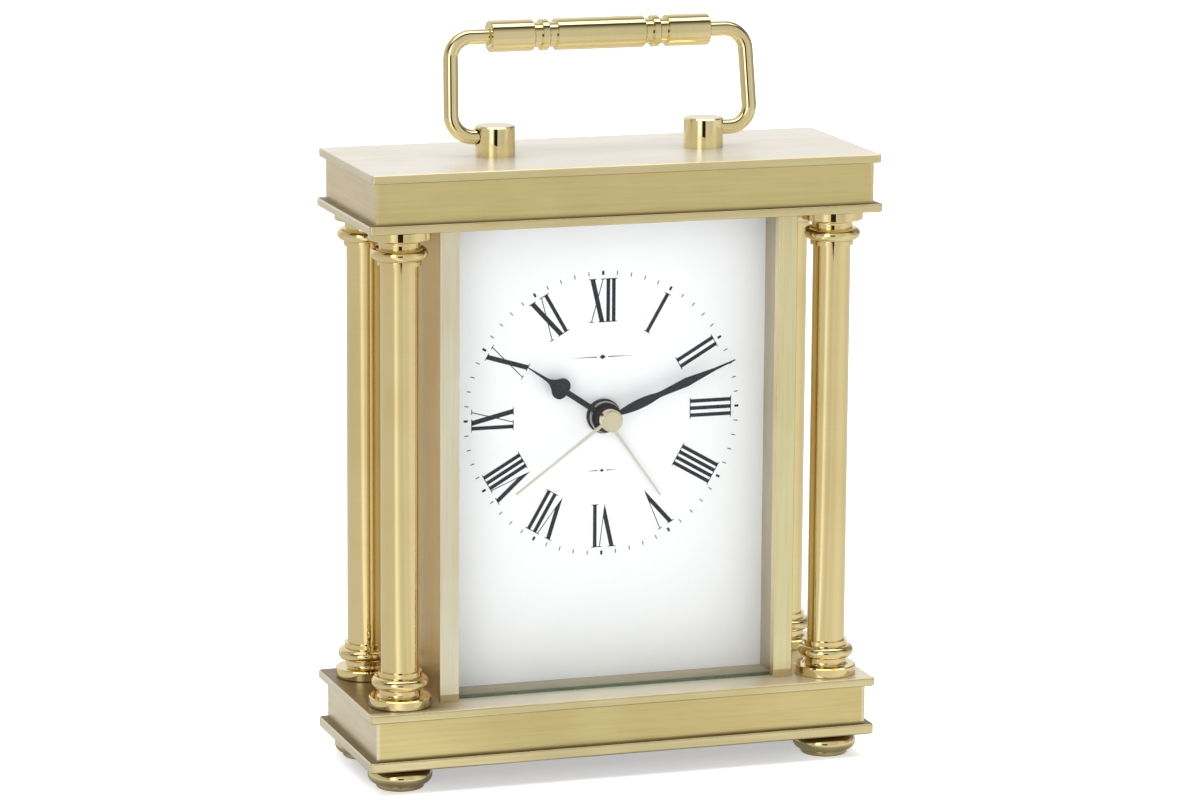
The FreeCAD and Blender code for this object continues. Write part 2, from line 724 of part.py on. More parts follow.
# Centre distances follow from the tooth counts and modules.
TRAIN_DISTANCE = 8.0
MOTION_MODULE = 2 * TRAIN_DISTANCE / (48 + 16)
HOUR_MODULE = 2 * TRAIN_DISTANCE / (40 + 10)
CENTRE_MODULE = 2 * TRAIN_DISTANCE / (64 + 8)
THIRD_MODULE = 2 * TRAIN_DISTANCE / (60 + 8)
SECOND_MODULE = 2 * TRAIN_DISTANCE / (60 + 10)
STEP_MODULE = 0.15
ALARM_MODULE = 0.25

CENTRE_AXIS = (0.0, 0.0)
THIRD_AXIS = polar(CENTRE_AXIS, TRAIN_DISTANCE, 90)
STEP_AXIS = polar(CENTRE_AXIS, TRAIN_DISTANCE, 20)
MINUTE_WORK_AXIS = polar(CENTRE_AXIS, TRAIN_DISTANCE, 210)
ROTOR_AXIS = polar(STEP_AXIS, STEP_MODULE * (60 + 12) / 2, 60)
TIME_SET_AXIS = polar(MINUTE_WORK_AXIS, MOTION_MODULE * (48 + 12) / 2, 180)
ALARM_SET_AXIS = polar(CENTRE_AXIS, ALARM_MODULE * (56 + 12) / 2, -30)

BEARING_FLOOR = -2.2      # bottom of the blind bearings in the front wall
ARBOR_START = -2.1
ARBOR_END = 12.3
REAR_BEARING_END = 12.4


def mate(label_axis, axis, phase, teeth, mate_teeth):
    """Phase of a gear on axis that meshes with a gear of the given phase on label_axis."""
    return meshing_phase(direction_between(label_axis, axis), phase, teeth, mate_teeth)


def gear_train():
    arbor = value("arbor_radius")
    bearing = value("bearing_radius")
    second_arbor = value("second_arbor")
    minute_outer = value("minute_pipe_outer")
    minute_inner = value("minute_pipe_inner")
    hour_outer = value("hour_pipe_outer")
    hour_inner = value("hour_pipe_inner")
    alarm_outer = value("alarm_pipe_outer")
    alarm_inner = value("alarm_pipe_inner")
    thick = value("gear_thick")

    # centre wheel with the minute pipe and its cannon pinion
    gear_part("centre_wheel", [
        toothed(64, CENTRE_MODULE, *CENTRE_AXIS, LAYER_CENTRE, 0.0),
        toothed(16, MOTION_MODULE, *CENTRE_AXIS, LAYER_MINUTE, 0.0, pinion=True),
        cylinder(minute_outer, *CENTRE_AXIS, -7.0, LAYER_CENTRE + thick),
    ], [cylinder(minute_inner, *CENTRE_AXIS, -8.0, LAYER_CENTRE + 2)])

    # motion work: the minute work wheel carries a pinion that drives the hour wheel
    work_phase = mate(CENTRE_AXIS, MINUTE_WORK_AXIS, 0.0, 16, 48)
    gear_part("minute_work_wheel", [
        toothed(48, MOTION_MODULE, *MINUTE_WORK_AXIS, LAYER_MINUTE, work_phase),
        toothed(10, HOUR_MODULE, *MINUTE_WORK_AXIS, LAYER_HOUR, 0.0, pinion=True),
        cylinder(1.2, *MINUTE_WORK_AXIS, LAYER_HOUR, LAYER_MINUTE + thick),
    ], [cylinder(bearing, *MINUTE_WORK_AXIS, LAYER_HOUR - 1, LAYER_MINUTE + 2)])
    hour_phase = mate(MINUTE_WORK_AXIS, CENTRE_AXIS, 0.0, 10, 40)
    gear_part("hour_wheel", [
        toothed(40, HOUR_MODULE, *CENTRE_AXIS, LAYER_HOUR, hour_phase),
        cylinder(hour_outer, *CENTRE_AXIS, -5.8, LAYER_HOUR + thick),
    ], [cylinder(hour_inner, *CENTRE_AXIS, -7.0, LAYER_HOUR + 2)])

    # going train: step rotor, step wheel, second wheel, third wheel, centre wheel
    gear_part("second_wheel", [
        toothed(60, SECOND_MODULE, *CENTRE_AXIS, LAYER_SECOND, 0.0),
        toothed(8, THIRD_MODULE, *CENTRE_AXIS, LAYER_THIRD, 0.0, pinion=True),
        cylinder(second_arbor, *CENTRE_AXIS, -8.3, LAYER_SECOND + thick),
        cylinder(arbor, *CENTRE_AXIS, LAYER_SECOND, ARBOR_END),
    ])
    third_phase = mate(CENTRE_AXIS, THIRD_AXIS, 0.0, 8, 60)
    leaf_phase = mate(CENTRE_AXIS, THIRD_AXIS, 0.0, 64, 8)
    gear_part("third_wheel", [
        toothed(60, THIRD_MODULE, *THIRD_AXIS, LAYER_THIRD, third_phase),
        toothed(8, CENTRE_MODULE, *THIRD_AXIS, LAYER_CENTRE, leaf_phase, pinion=True),
        cylinder(0.6, *THIRD_AXIS, LAYER_CENTRE, LAYER_THIRD + thick),
        cylinder(arbor, *THIRD_AXIS, ARBOR_START, ARBOR_END),
    ])
    step_leaf_phase = mate(CENTRE_AXIS, STEP_AXIS, 0.0, 60, 10)
    gear_part("step_wheel", [
        toothed(60, STEP_MODULE, *STEP_AXIS, LAYER_STEP, 0.0),
        toothed(10, SECOND_MODULE, *STEP_AXIS, LAYER_SECOND, step_leaf_phase, pinion=True),
        cylinder(0.8, *STEP_AXIS, LAYER_SECOND, LAYER_STEP + thick),
        cylinder(arbor, *STEP_AXIS, ARBOR_START, ARBOR_END),
    ])
    rotor_phase = mate(STEP_AXIS, ROTOR_AXIS, 0.0, 60, 12)
    gear_part("rotor", [
        toothed(12, STEP_MODULE, *ROTOR_AXIS, LAYER_STEP, rotor_phase, pinion=True),
        cylinder(1.75, *ROTOR_AXIS, 7.6, 9.3),
        cylinder(0.65, *ROTOR_AXIS, LAYER_STEP, 7.8),
        cylinder(arbor, *ROTOR_AXIS, ARBOR_START, ARBOR_END),
    ])

    # alarm wheel with the outermost pipe
    gear_part("alarm_wheel", [
        toothed(56, ALARM_MODULE, *CENTRE_AXIS, LAYER_ALARM, 0.0),
        cylinder(alarm_outer, *CENTRE_AXIS, -5.0, LAYER_ALARM + thick),
    ], [cylinder(alarm_inner, *CENTRE_AXIS, -6.0, LAYER_ALARM + 2)])


def setting_knob(label, axis, phase, module, layer, stem_radius, knob_radius):
    """Moulded knob: fluted disc outside the back shell, stem, and pinion inside."""
    rear = value("movement_rear") + 0.3
    disc = cylinder(knob_radius, *axis, rear, rear + 3.0)
    flutes = []
    for i in range(12):
        turn = 2 * math.pi * i / 12
        x = axis[0] + knob_radius * math.cos(turn)
        z = axis[1] + knob_radius * math.sin(turn)
        flutes.append(cylinder(0.55, x, z, rear - 1, rear + 5))
    fluted = disc.cut(flutes[0].multiFuse(flutes[1:]))
    dimple = cylinder(knob_radius - 1.6, *axis, rear + 2.4, rear + 5)
    gear_part(label, [
        fluted.cut(dimple),
        cylinder(stem_radius, *axis, layer, rear + 0.5),
        toothed(12, module, *axis, layer, phase, pinion=True),
        cylinder(value("arbor_radius"), *axis, ARBOR_START, layer + 0.5),
    ])


def setting_knobs():
    work_phase = mate(CENTRE_AXIS, MINUTE_WORK_AXIS, 0.0, 16, 48)
    time_phase = mate(MINUTE_WORK_AXIS, TIME_SET_AXIS, work_phase, 48, 12)
    setting_knob("time_set_knob", TIME_SET_AXIS, time_phase, MOTION_MODULE, LAYER_MINUTE, 1.2, 5.5)
    alarm_phase = mate(CENTRE_AXIS, ALARM_SET_AXIS, 0.0, 56, 12)
    setting_knob("alarm_set_knob", ALARM_SET_AXIS, alarm_phase, ALARM_MODULE, LAYER_ALARM, 0.85, 4.2)


def at(axis, part):
    """An axis coordinate as an expression: part 0 is across, part 1 is height."""
    number = f"{axis[part]:.6f}"
    return number if part == 0 else f"{CENTRE} + {number}"


SWITCH_X = "20"
SWITCH_Z = f"{CENTRE} + 2"


def movement_front_shell():
    """Front half of the housing: square tray, threaded centre tube, front bearings, stud."""
    half = "movement_side / 2"
    inner = "movement_side / 2 - shell_thick"
    depth = "movement_front + movement_seam"
    body = doc.addObject("PartDesign::Body", "front_tray")
    sketch = new_sketch(body, "XZ_Plane", "outline")
    draw_rectangle(sketch, f"-{half}", f"-{half}", half, half)
    blank = pad(body, sketch, depth)
    dress(body, "Fillet", blank, lambda e: e.BoundBox.YLength > 1 and e.Length < 10, "shell_corner")
    put(body, "0", "movement_seam", CENTRE)
    hollow = box("front_hollow", f"-({inner})", "-movement_front + shell_thick",
                 f"{CENTRE} - ({inner})", f"2 * ({inner})", f"{depth} + 1", f"2 * ({inner})")
    tray = cut("front_tray_hollowed", body, [hollow])
    tube = rod("centre_tube", "0", "-4.3", CENTRE, "tube_outer", "3.0")
    stud = rod("minute_work_stud", at(MINUTE_WORK_AXIS, 0), "-2", at(MINUTE_WORK_AXIS, 1),
               "arbor_radius", "4.5")
    shell = fuse("front_shell_blank", [tray, tube, stud])
    bores = [rod("centre_bore", "0", "-6", CENTRE, "tube_inner", "6")]
    pivots = {"third": THIRD_AXIS, "step": STEP_AXIS, "rotor": ROTOR_AXIS,
              "time_set": TIME_SET_AXIS, "alarm_set": ALARM_SET_AXIS}
    for name, axis in pivots.items():
        bores.append(rod(f"front_bearing_{name}", at(axis, 0), str(BEARING_FLOOR), at(axis, 1),
                         "bearing_radius", "2"))
    sub_part(cut("front_shell", shell, bores), "movement_front_shell")


def movement_back_shell():
    """Back half: tray open to the front, cell trough open to the rear, rear bearings."""
    half = "movement_side / 2"
    inner = "movement_side / 2 - shell_thick"
    rear_wall = "movement_rear - shell_thick"
    body = doc.addObject("PartDesign::Body", "back_tray")
    sketch = new_sketch(body, "XZ_Plane", "outline")
    draw_rectangle(sketch, f"-{half}", f"-{half}", half, half)
    blank = pad(body, sketch, "movement_rear - movement_seam")
    dress(body, "Fillet", blank, lambda e: e.BoundBox.YLength > 1 and e.Length < 10.5, "shell_corner")
    put(body, "0", "movement_rear", CENTRE)
    hollow = box("back_hollow", f"-({inner})", "movement_seam - 1", f"{CENTRE} - ({inner})",
                 f"2 * ({inner})", f"{rear_wall} - movement_seam + 1", f"2 * ({inner})")
    trough_length = "trough_half_length + trough_wall"
    trough_height = "trough_half_height + trough_wall"
    trough_front = "cell_y - cell_radius - 0.1 - trough_wall"
    trough = box("trough_block", f"-({trough_length})", trough_front,
                 f"{CENTRE} - cell_drop - ({trough_height})", f"2 * ({trough_length})",
                 f"movement_rear - ({trough_front})", f"2 * ({trough_height})")
    solids = [cut("back_tray_hollowed", body, [hollow]), trough]
    bores = [box("trough_hollow", "-trough_half_length", f"{trough_front} + trough_wall",
                 f"{CENTRE} - cell_drop - trough_half_height", "2 * trough_half_length", "20",
                 "2 * trough_half_height")]
    pivots = {"centre": CENTRE_AXIS, "third": THIRD_AXIS, "step": STEP_AXIS, "rotor": ROTOR_AXIS}
    for name, axis in pivots.items():
        solids.append(rod(f"boss_{name}", at(axis, 0), "boss_start", at(axis, 1), "boss_radius",
                          f"{rear_wall} - boss_start + 0.5"))
        bores.append(rod(f"rear_bearing_{name}", at(axis, 0), "boss_start - 1", at(axis, 1),
                         "bearing_radius", f"{REAR_BEARING_END} - boss_start + 1"))
    stems = {"time_set": (TIME_SET_AXIS, "1.26"), "alarm_set": (ALARM_SET_AXIS, "0.91")}
    for name, (axis, radius) in stems.items():
        bores.append(rod(f"stem_hole_{name}", at(axis, 0), "11", at(axis, 1), radius, "5"))
    bores.append(box("switch_slot", f"{SWITCH_X} - 0.95", "11", f"{SWITCH_Z} - 1.1",
                     "1.9", "5", "5.2"))
    for i in range(7):
        angle = 2 * math.pi * i / 6
        reach = 3.4 if i < 6 else 0
        bores.append(rod(f"sound_hole_{i}", f"-15 + {reach * math.cos(angle):.4f}", "11",
                         f"{CENTRE} + 15 + {reach * math.sin(angle):.4f}", "0.8", "5"))
    sub_part(cut("back_shell", fuse("back_shell_blank", solids), bores), "movement_back_shell")


def movement_electrics():
    """Circuit board, crystal, coil, stator, buzzer, contacts."""
    board = box("board_blank", "16.8", "9.9", f"{CENTRE} - 9", "9.6", "1.0", "24.5")
    switch_gap = box("board_switch_gap", f"{SWITCH_X} - 1.2", "9", f"{SWITCH_Z} - 1.4", "2.4", "3", "5.8")
    sub_part(cut("board", board, [switch_gap]), "circuit_board")
    crystal = rod("crystal_can", "24.3", "11.87", f"{CENTRE} - 7.5", "0.95", "6", NO_TURN)
    sub_part(crystal, "quartz_crystal")

    plate_blank = box("stator_blank", "2", "7.9", f"{CENTRE} + 3.4", "14.5", "1.0", "20.2")
    window = box("stator_window", "5", "7", f"{CENTRE} + 11.6", "8.6", "3", "8.2")
    rotor_gap = rod("stator_rotor_gap", at(ROTOR_AXIS, 0), "7", at(ROTOR_AXIS, 1), "2.15", "3")
    arbor_gap = rod("stator_step_gap", at(STEP_AXIS, 0), "7", at(STEP_AXIS, 1), "1.0", "3")
    sub_part(cut("stator_plate", plate_blank, [window, rotor_gap, arbor_gap]), "stator")

    bobbin = rod("bobbin", "5.3", "8.4", f"{CENTRE} + 21.7", "2.8", "8.0", ALONG_X)
    cheeks = [rod(f"cheek_{i}", x, "8.4", f"{CENTRE} + 21.7", "3.2", "0.6", ALONG_X)
              for i, x in enumerate(("5.0", "13.0"))]
    core = box("core_slot", "4", "7.9", f"{CENTRE} + 19.8", "11", "1.0", "3.8")
    sub_part(cut("coil_wound", fuse("coil_blank", [bobbin] + cheeks), [core]), "coil")

    disc = rod("buzzer_disc", "-15", "10.4", f"{CENTRE} + 15", "8.5", "2.4")
    throat = rod("buzzer_throat", "-15", "11.4", f"{CENTRE} + 15", "6.5", "3")
    sub_part(cut("buzzer_cup", disc, [throat]), "buzzer")

    cell_level = f"{CENTRE} - cell_drop"
    plus = box("plus_plate", "trough_half_length - 0.3", "cell_y - 4", f"{cell_level} - 4",
               "0.3", "8", "8")
    sub_part(plus, "battery_contact_positive")
    minus = box("minus_plate", "-trough_half_length", "cell_y - 4", f"{cell_level} - 4",
                "0.3", "8", "8")
    spring = doc.addObject("Part::Cone", "minus_spring")
    bind(spring, Radius1="3", Radius2="1.8", Height="1.2")
    put(spring, "-trough_half_length + 0.2", "cell_y", cell_level, ALONG_X)
    sub_part(fuse("minus_contact", [minus, spring]), "battery_contact_negative")


def battery():
    """AA cell lying along X with its button towards +X."""
    body = new_body("battery")
    sketch = new_sketch(body, "XY_Plane", "profile")
    draw(sketch, [
        ("0", "0"), ("0", "cell_radius - cell_edge", "cell_edge"),
        ("cell_edge", "cell_radius"), ("cell_length - cell_edge", "cell_radius", "cell_edge"),
        ("cell_length", "cell_radius - cell_edge"), ("cell_length", "cell_button_radius"),
        ("cell_length + cell_button", "cell_button_radius"), ("cell_length + cell_button", "0"),
    ])
    revolve(body, sketch, "H_Axis")
    put(body, "-cell_length / 2 - 0.2", "cell_y", f"{CENTRE} - cell_drop")


def alarm_switch():
    """Slide switch: ridged thumb piece outside, stem through the back shell."""
    thumb = box("switch_thumb", f"{SWITCH_X} - 2.5", "movement_rear + 0.1", f"{SWITCH_Z} - 2",
                "5", "1.3", "4")
    stem = box("switch_stem", f"{SWITCH_X} - 0.8", "11", f"{SWITCH_Z} - 0.9", "1.6",
               "movement_rear - 10.5", "1.8")
    grooves = [box(f"switch_groove_{i}", f"{SWITCH_X} - 3", "movement_rear + 1.0",
                   f"{SWITCH_Z} {offset}", "6", "1", "0.4")
               for i, offset in enumerate(("- 1.4", "- 0.2", "+ 1.0"))]
    sub_part(cut("switch", fuse("switch_blank", [thumb, stem]), grooves), "alarm_switch")


# ---------------------------------------------------------------- fasteners

def fasteners():
    upside = FreeCAD.Rotation(Vector(1, 0, 0), 180)
    feet = [slotted_screw(f"foot_screw_{n}", x, y, "foot_recess_depth", "foot_screw_length")
            for n, (x, y) in CORNERS.items()]
    sub_part(group("foot_screw_set", feet), "foot_screws")
    top = [slotted_screw(f"cornice_screw_{n}", x, y, FRIEZE_LEVEL, "cornice_screw_length", upside)
           for n, (x, y) in CORNERS.items()]
    sub_part(group("cornice_screw_set", top), "cornice_screws")
    posts = [slotted_screw(f"post_screw_{n}", f"{side}post_x", "0", TOP_LEVEL, "post_screw_length")
             for n, side in (("left", "-"), ("right", ""))]
    sub_part(group("post_screw_set", posts), "handle_post_screws")
    inward = FreeCAD.Rotation(Vector(1, 0, 0), 90)
    back = [slotted_screw(f"back_screw_{n}_{level}", f"{side}back_screw_x",
                          "back_plate_face + back_plate_thick", f"{FLOOR} + {height}",
                          "back_screw_length", inward)
            for n, side in (("left", "-"), ("right", ""))
            for level, height in (("low", "back_screw_inset"),
                                  ("high", "pillar_height - back_screw_inset"))]
    sub_part(group("back_screw_set", back), "back_plate_screws")


# ---------------------------------------------------------------- assembly

def build():
    at_pillars = list(CORNERS.values())
    plate("base_bottom_plate", "bottom_plate", "foot_height", at_pillars, "Fillet", "plate_edge")
    plate("base_top_plate", "base_plate", BASE_LEVEL, at_pillars, "Fillet", "plate_edge")
    plate("cornice_plate", "cornice", CORNICE_LEVEL, at_pillars, "Fillet", "plate_edge")
    plate("top_plate", "top_plate", TOP_LEVEL, [("-post_x", "0"), ("post_x", "0")],
          "Chamfer", "crisp_edge")
    bands("base_band", BAND_LEVEL, "base_band_height")
    bands("frieze", FRIEZE_LEVEL, "frieze_height")
    for name, (x, y) in CORNERS.items():
        foot(f"foot_{name}", x, y)
        pillar(f"pillar_{name}", x, y)
    case_wall("case_wall_left", "-")
    case_wall("case_wall_right", "")
    pane("glass", "-lip_back + glass_thick - 0.02", "glass_thick - 0.04")
    pane("dial", "-dial_front + dial_thick", "dial_thick", "tube_outer + 0.05")
    back_plate()
    handle_post("handle_post_left", "-")
    handle_post("handle_post_right", "")
    bail()
    handle_grip()
    fasteners()
    dial_nut()
    hands()
    second_hand_cap()
    gear_train()
    setting_knobs()
    movement_front_shell()
    movement_back_shell()
    movement_electrics()
    battery()
    alarm_switch()


def check():
    """Stop with a plain message if any object failed or any sub-part is not sound."""
    failed = [thing.Name for thing in doc.Objects if {"Invalid", "Error"} & set(thing.State)]
    if failed:
        raise RuntimeError(f"failed to build: {failed}")
    unsound = [
        thing.Label for thing in SUB_PARTS
        if thing.Shape.isNull() or not thing.Shape.isValid() or not thing.Shape.Solids
    ]
    if unsound:
        raise RuntimeError(f"no sound solid in: {unsound}")


build()
doc.recompute()
check()
os.makedirs("parts", exist_ok=True)
for piece in SUB_PARTS:
    piece.Shape.exportStep(os.path.join("parts", piece.Label + ".step"))
print(len(SUB_PARTS), "sub-parts written")
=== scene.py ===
import math

import bmesh
import bpy
from mathutils import Matrix, Vector


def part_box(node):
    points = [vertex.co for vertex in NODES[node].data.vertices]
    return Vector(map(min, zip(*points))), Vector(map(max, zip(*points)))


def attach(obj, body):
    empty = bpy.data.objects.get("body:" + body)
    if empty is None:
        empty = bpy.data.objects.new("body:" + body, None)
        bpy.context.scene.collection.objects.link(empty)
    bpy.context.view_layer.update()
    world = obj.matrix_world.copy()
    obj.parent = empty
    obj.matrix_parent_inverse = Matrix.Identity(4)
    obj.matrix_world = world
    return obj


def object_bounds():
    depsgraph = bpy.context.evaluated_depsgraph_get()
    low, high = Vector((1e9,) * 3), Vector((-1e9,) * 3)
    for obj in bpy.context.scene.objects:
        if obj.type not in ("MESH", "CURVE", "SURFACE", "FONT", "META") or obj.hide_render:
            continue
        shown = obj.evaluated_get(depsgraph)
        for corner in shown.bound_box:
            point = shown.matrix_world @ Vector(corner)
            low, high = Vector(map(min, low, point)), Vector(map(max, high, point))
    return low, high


# Looks of the carriage clock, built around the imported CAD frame.  Metres.
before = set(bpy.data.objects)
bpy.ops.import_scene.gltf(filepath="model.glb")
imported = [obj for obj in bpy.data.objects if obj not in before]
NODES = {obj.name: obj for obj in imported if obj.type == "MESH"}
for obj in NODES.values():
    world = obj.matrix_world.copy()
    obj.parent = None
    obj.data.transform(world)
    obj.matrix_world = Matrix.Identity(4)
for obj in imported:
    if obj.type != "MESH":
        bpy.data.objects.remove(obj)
CAD_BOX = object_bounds()
SCENE = bpy.context.scene
MM = 0.001


# ---------------------------------------------------------------- node helpers

class Graph:
    """A material's node tree, with short calls for adding and joining nodes."""

    def __init__(self, name, tree=None):
        if tree is None:
            self.material = bpy.data.materials.new(name)
            self.material.use_nodes = True
            tree = self.material.node_tree
        self.tree = tree
        self.tree.nodes.clear()

    def add(self, kind, inputs=None, **settings):
        node = self.tree.nodes.new(kind)
        for key, setting in settings.items():
            setattr(node, key, setting)
        for key, source in (inputs or {}).items():
            self.feed(node.inputs[key], source)
        return node

    def feed(self, socket, source):
        """Link a socket to a node or another socket, or set it to a plain value."""
        if isinstance(source, bpy.types.NodeSocket):
            self.tree.links.new(source, socket)
        elif isinstance(source, bpy.types.Node):
            self.tree.links.new(source.outputs[0], socket)
        else:
            socket.default_value = source

    def math(self, operation, a, b=0.0):
        return self.add("ShaderNodeMath", {0: a, 1: b}, operation=operation)

    def span(self, source, low, high, to_low, to_high):
        """Source taken smoothly from low..high to to_low..to_high."""
        return self.add("ShaderNodeMapRange", {
            "Value": source, "From Min": low, "From Max": high,
            "To Min": to_low, "To Max": to_high}, interpolation_type="SMOOTHSTEP")

    def blend(self, share, a, b):
        """Colour a where share is 0, b where it is 1."""
        node = self.add("ShaderNodeMix", data_type="RGBA")
        self.feed(node.inputs[0], share)
        self.feed(node.inputs[6], a)
        self.feed(node.inputs[7], b)
        return node.outputs[2]

    def shade(self, share, colour, factor):
        """Colour multiplied by a factor where share is 1."""
        node = self.add("ShaderNodeMix", data_type="RGBA", blend_type="MULTIPLY")
        self.feed(node.inputs[0], share)
        self.feed(node.inputs[6], colour)
        self.feed(node.inputs[7], factor)
        return node.outputs[2]

    def place(self):
        """Position on the object, in metres."""
        return self.add("ShaderNodeTexCoord").outputs["Object"]

    def axes(self, vector=None):
        """The x, y and z parts of a vector, or else of the position on the object."""
        source = self.place() if vector is None else vector
        return self.add("ShaderNodeSeparateXYZ", {0: source}).outputs

    def facing(self, axis):
        """1 on faces that look along an axis, 0 on the others and on rounded edges."""
        normal = self.add("ShaderNodeNewGeometry").outputs["Normal"]
        part = self.axes(normal)["XYZ".index(axis)]
        rounded, flat = 0.8, 0.95
        return self.span(self.math("ABSOLUTE", part), rounded, flat, 0.0, 1.0)

    def noise(self, scales, detail=3.0, roughness=0.55):
        """Noise whose grains are 1/scale metres long along each axis; one scale does for all."""
        scales = scales if isinstance(scales, (tuple, list)) else (scales,) * 3
        spread = self.add("ShaderNodeMapping", {"Vector": self.place(), "Scale": scales})
        made = self.add("ShaderNodeTexNoise", {
            "Vector": spread, "Scale": 1.0, "Detail": detail, "Roughness": roughness})
        return made.outputs["Fac"]

    def bump(self, height, depth):
        node = self.add("ShaderNodeBump", {"Height": height, "Distance": depth, "Strength": 1.0})
        return node.outputs["Normal"]

    def surface(self, shader):
        output = self.add("ShaderNodeOutputMaterial")
        self.feed(output.inputs["Surface"], shader)
        return self.material


def rgb(r, g, b):
    return (r, g, b, 1.0)


def grey(level):
    return rgb(level, level, level)


def resolve(g, source):
    """A source that may be a function of the graph, as what that function returns."""
    return source(g) if callable(source) else source


# ---------------------------------------------------------------- materials

# Tones of the brass, matched face by face to the photo under this stage's light.
BAND = rgb(0.82, 0.69, 0.30)
# BAND_SIDE and BASE_SIDE are the band brass painted paler on the side faces, and paler still on
# the base: painted light.
BAND_SIDE = rgb(0.90, 0.74, 0.39)
BASE_SIDE = rgb(0.96, 0.84, 0.54)
PLATE = rgb(0.86, 0.75, 0.40)
# PLATE_SIDE is the plate brass painted paler on the side faces: painted light.
PLATE_SIDE = rgb(0.93, 0.83, 0.58)
# PLATE_TOP and FLOOR_TOP, paler tones for the open upper faces of the top plate and the base, are
# painted sheen.
PLATE_TOP = rgb(0.71, 0.67, 0.59)
FLOOR_TOP = rgb(0.78, 0.70, 0.52)
# LEDGE_TOP darkens the ledges' upper faces under the bands: painted shade.
LEDGE_TOP = rgb(0.15, 0.092, 0.032)
# Painted shade on the base's upper face around the left pair of pillars.
PAINTED_SHADE = rgb(0.20, 0.13, 0.05)
# STILE_LEFT and STILE_RIGHT paint the walls' front faces paler on the left than on the right:
# painted light.
STILE_LEFT = rgb(0.96, 0.92, 0.69)
STILE_RIGHT = rgb(0.93, 0.85, 0.48)
# STILE_SIDE, browner on the walls' side faces, and STILE_INSIDE, dim on their inner faces behind
# the glass, are painted shade.
STILE_SIDE = rgb(0.80, 0.66, 0.37)
STILE_INSIDE = rgb(0.50, 0.43, 0.27)
# STILE_FOOT browns the walls' front faces along their foot: painted shade.
STILE_FOOT = rgb(0.62, 0.50, 0.27)
POLISHED = rgb(0.87, 0.71, 0.34)
CAP = rgb(0.93, 0.83, 0.60)
HANDLE = rgb(0.89, 0.76, 0.40)
# What stains and streaks multiply those tones by.
WORN = rgb(0.90, 0.85, 0.76)

# Grains per metre: along and across a brushed streak, along a turned piece and around it.
BRUSH_ALONG, BRUSH_ACROSS = 45, 1400
RING_ALONG, RING_AROUND = 2600, 60
COAT_IOR = 1.5
# Heights above the base's upper face.  The glass is dark green up to GLASS_FOOT, painted contact
# shade over the edge's own green, and pale green up to GLASS_RIM, each fading out at its _END;
# the case walls' brown foot, painted shade, ends at STILE_FOOT_END.
GLASS_FOOT, GLASS_FOOT_END, GLASS_RIM, GLASS_RIM_END = 0.3 * MM, 0.55 * MM, 1.3 * MM, 1.5 * MM
STILE_FOOT_END = 1.8 * MM


def brass(name, tint, streaks, rough, rough_swing, depth, coat, coat_rough, metallic=1.0,
          streaky=0.6):
    """Lacquered brass whose colour, gloss and relief follow fine streaks.

    streaks is a function of the graph; tint, coat and metallic are that or plain values.
    """
    g = Graph(name)
    streaks = streaks(g)
    clouds = g.noise(55, 2.0)
    colour = resolve(g, tint)
    colour = g.shade(g.span(clouds, 0.35, 0.7, 0.0, 0.5), colour, WORN)
    colour = g.shade(g.span(streaks, 0.3, 0.75, 0.0, streaky), colour, WORN)
    spread = g.span(streaks, 0.25, 0.75, rough - rough_swing, rough + rough_swing)
    normal = g.bump(streaks, depth)
    shader = g.add("ShaderNodeBsdfPrincipled", {
        "Base Color": colour, "Roughness": spread, "Normal": normal,
        "Metallic": resolve(g, metallic), "Coat Weight": resolve(g, coat),
        "Coat Roughness": coat_rough, "Coat IOR": COAT_IOR})
    return g.surface(shader)


def plain(name, colour, darker, rough, grain, depth=0.000004, metallic=0.0, specular=0.5):
    """Moulded, painted or plated surface with a fine even texture."""
    g = Graph(name)
    fine = g.noise(grain, 4.0, 0.6)
    wide = g.noise(70, 2.0)
    tint = g.blend(g.span(wide, 0.3, 0.7, 0.0, 1.0), colour, darker)
    shader = g.add("ShaderNodeBsdfPrincipled", {
        "Base Color": tint, "Metallic": metallic,
        "Roughness": g.span(fine, 0.3, 0.7, rough - 0.05, rough + 0.05),
        "Normal": g.bump(fine, depth), "Specular IOR Level": specular})
    return g.surface(shader)


def clear_glass():
    """Window glass: reflection rises towards grazing; the foot shows the green of its edge,
    darkened at the very foot by painted contact shade.
    """
    g = Graph("clear_glass")
    facing = g.add("ShaderNodeLayerWeight", {"Blend": 0.5}).outputs["Facing"]
    head_on, rise = 0.012, 0.9
    share = g.math("MULTIPLY_ADD", g.math("POWER", facing, 5.0), rise)
    share.inputs[2].default_value = head_on
    wisps = g.noise(25, 2.0)
    gloss = g.add("ShaderNodeBsdfGlossy", {
        "Color": grey(1), "Roughness": g.span(wisps, 0.4, 0.8, 0.01, 0.03)})
    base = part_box("base_top_plate")[1].z
    height = g.axes()[2]
    tint = g.blend(g.span(height, base + GLASS_RIM, base + GLASS_RIM_END, 0.0, 1.0),
                   rgb(0.90, 0.93, 0.90), rgb(0.995, 1.0, 0.998))
    # The darker green at the very foot is painted contact shade over the edge's own green.
    tint = g.blend(g.span(height, base + GLASS_FOOT, base + GLASS_FOOT_END, 0.0, 1.0),
                   rgb(0.55, 0.62, 0.58), tint)
    through = g.add("ShaderNodeBsdfTransparent", {"Color": tint})
    return g.surface(g.add("ShaderNodeMixShader", {0: share, 1: through, 2: gloss}))


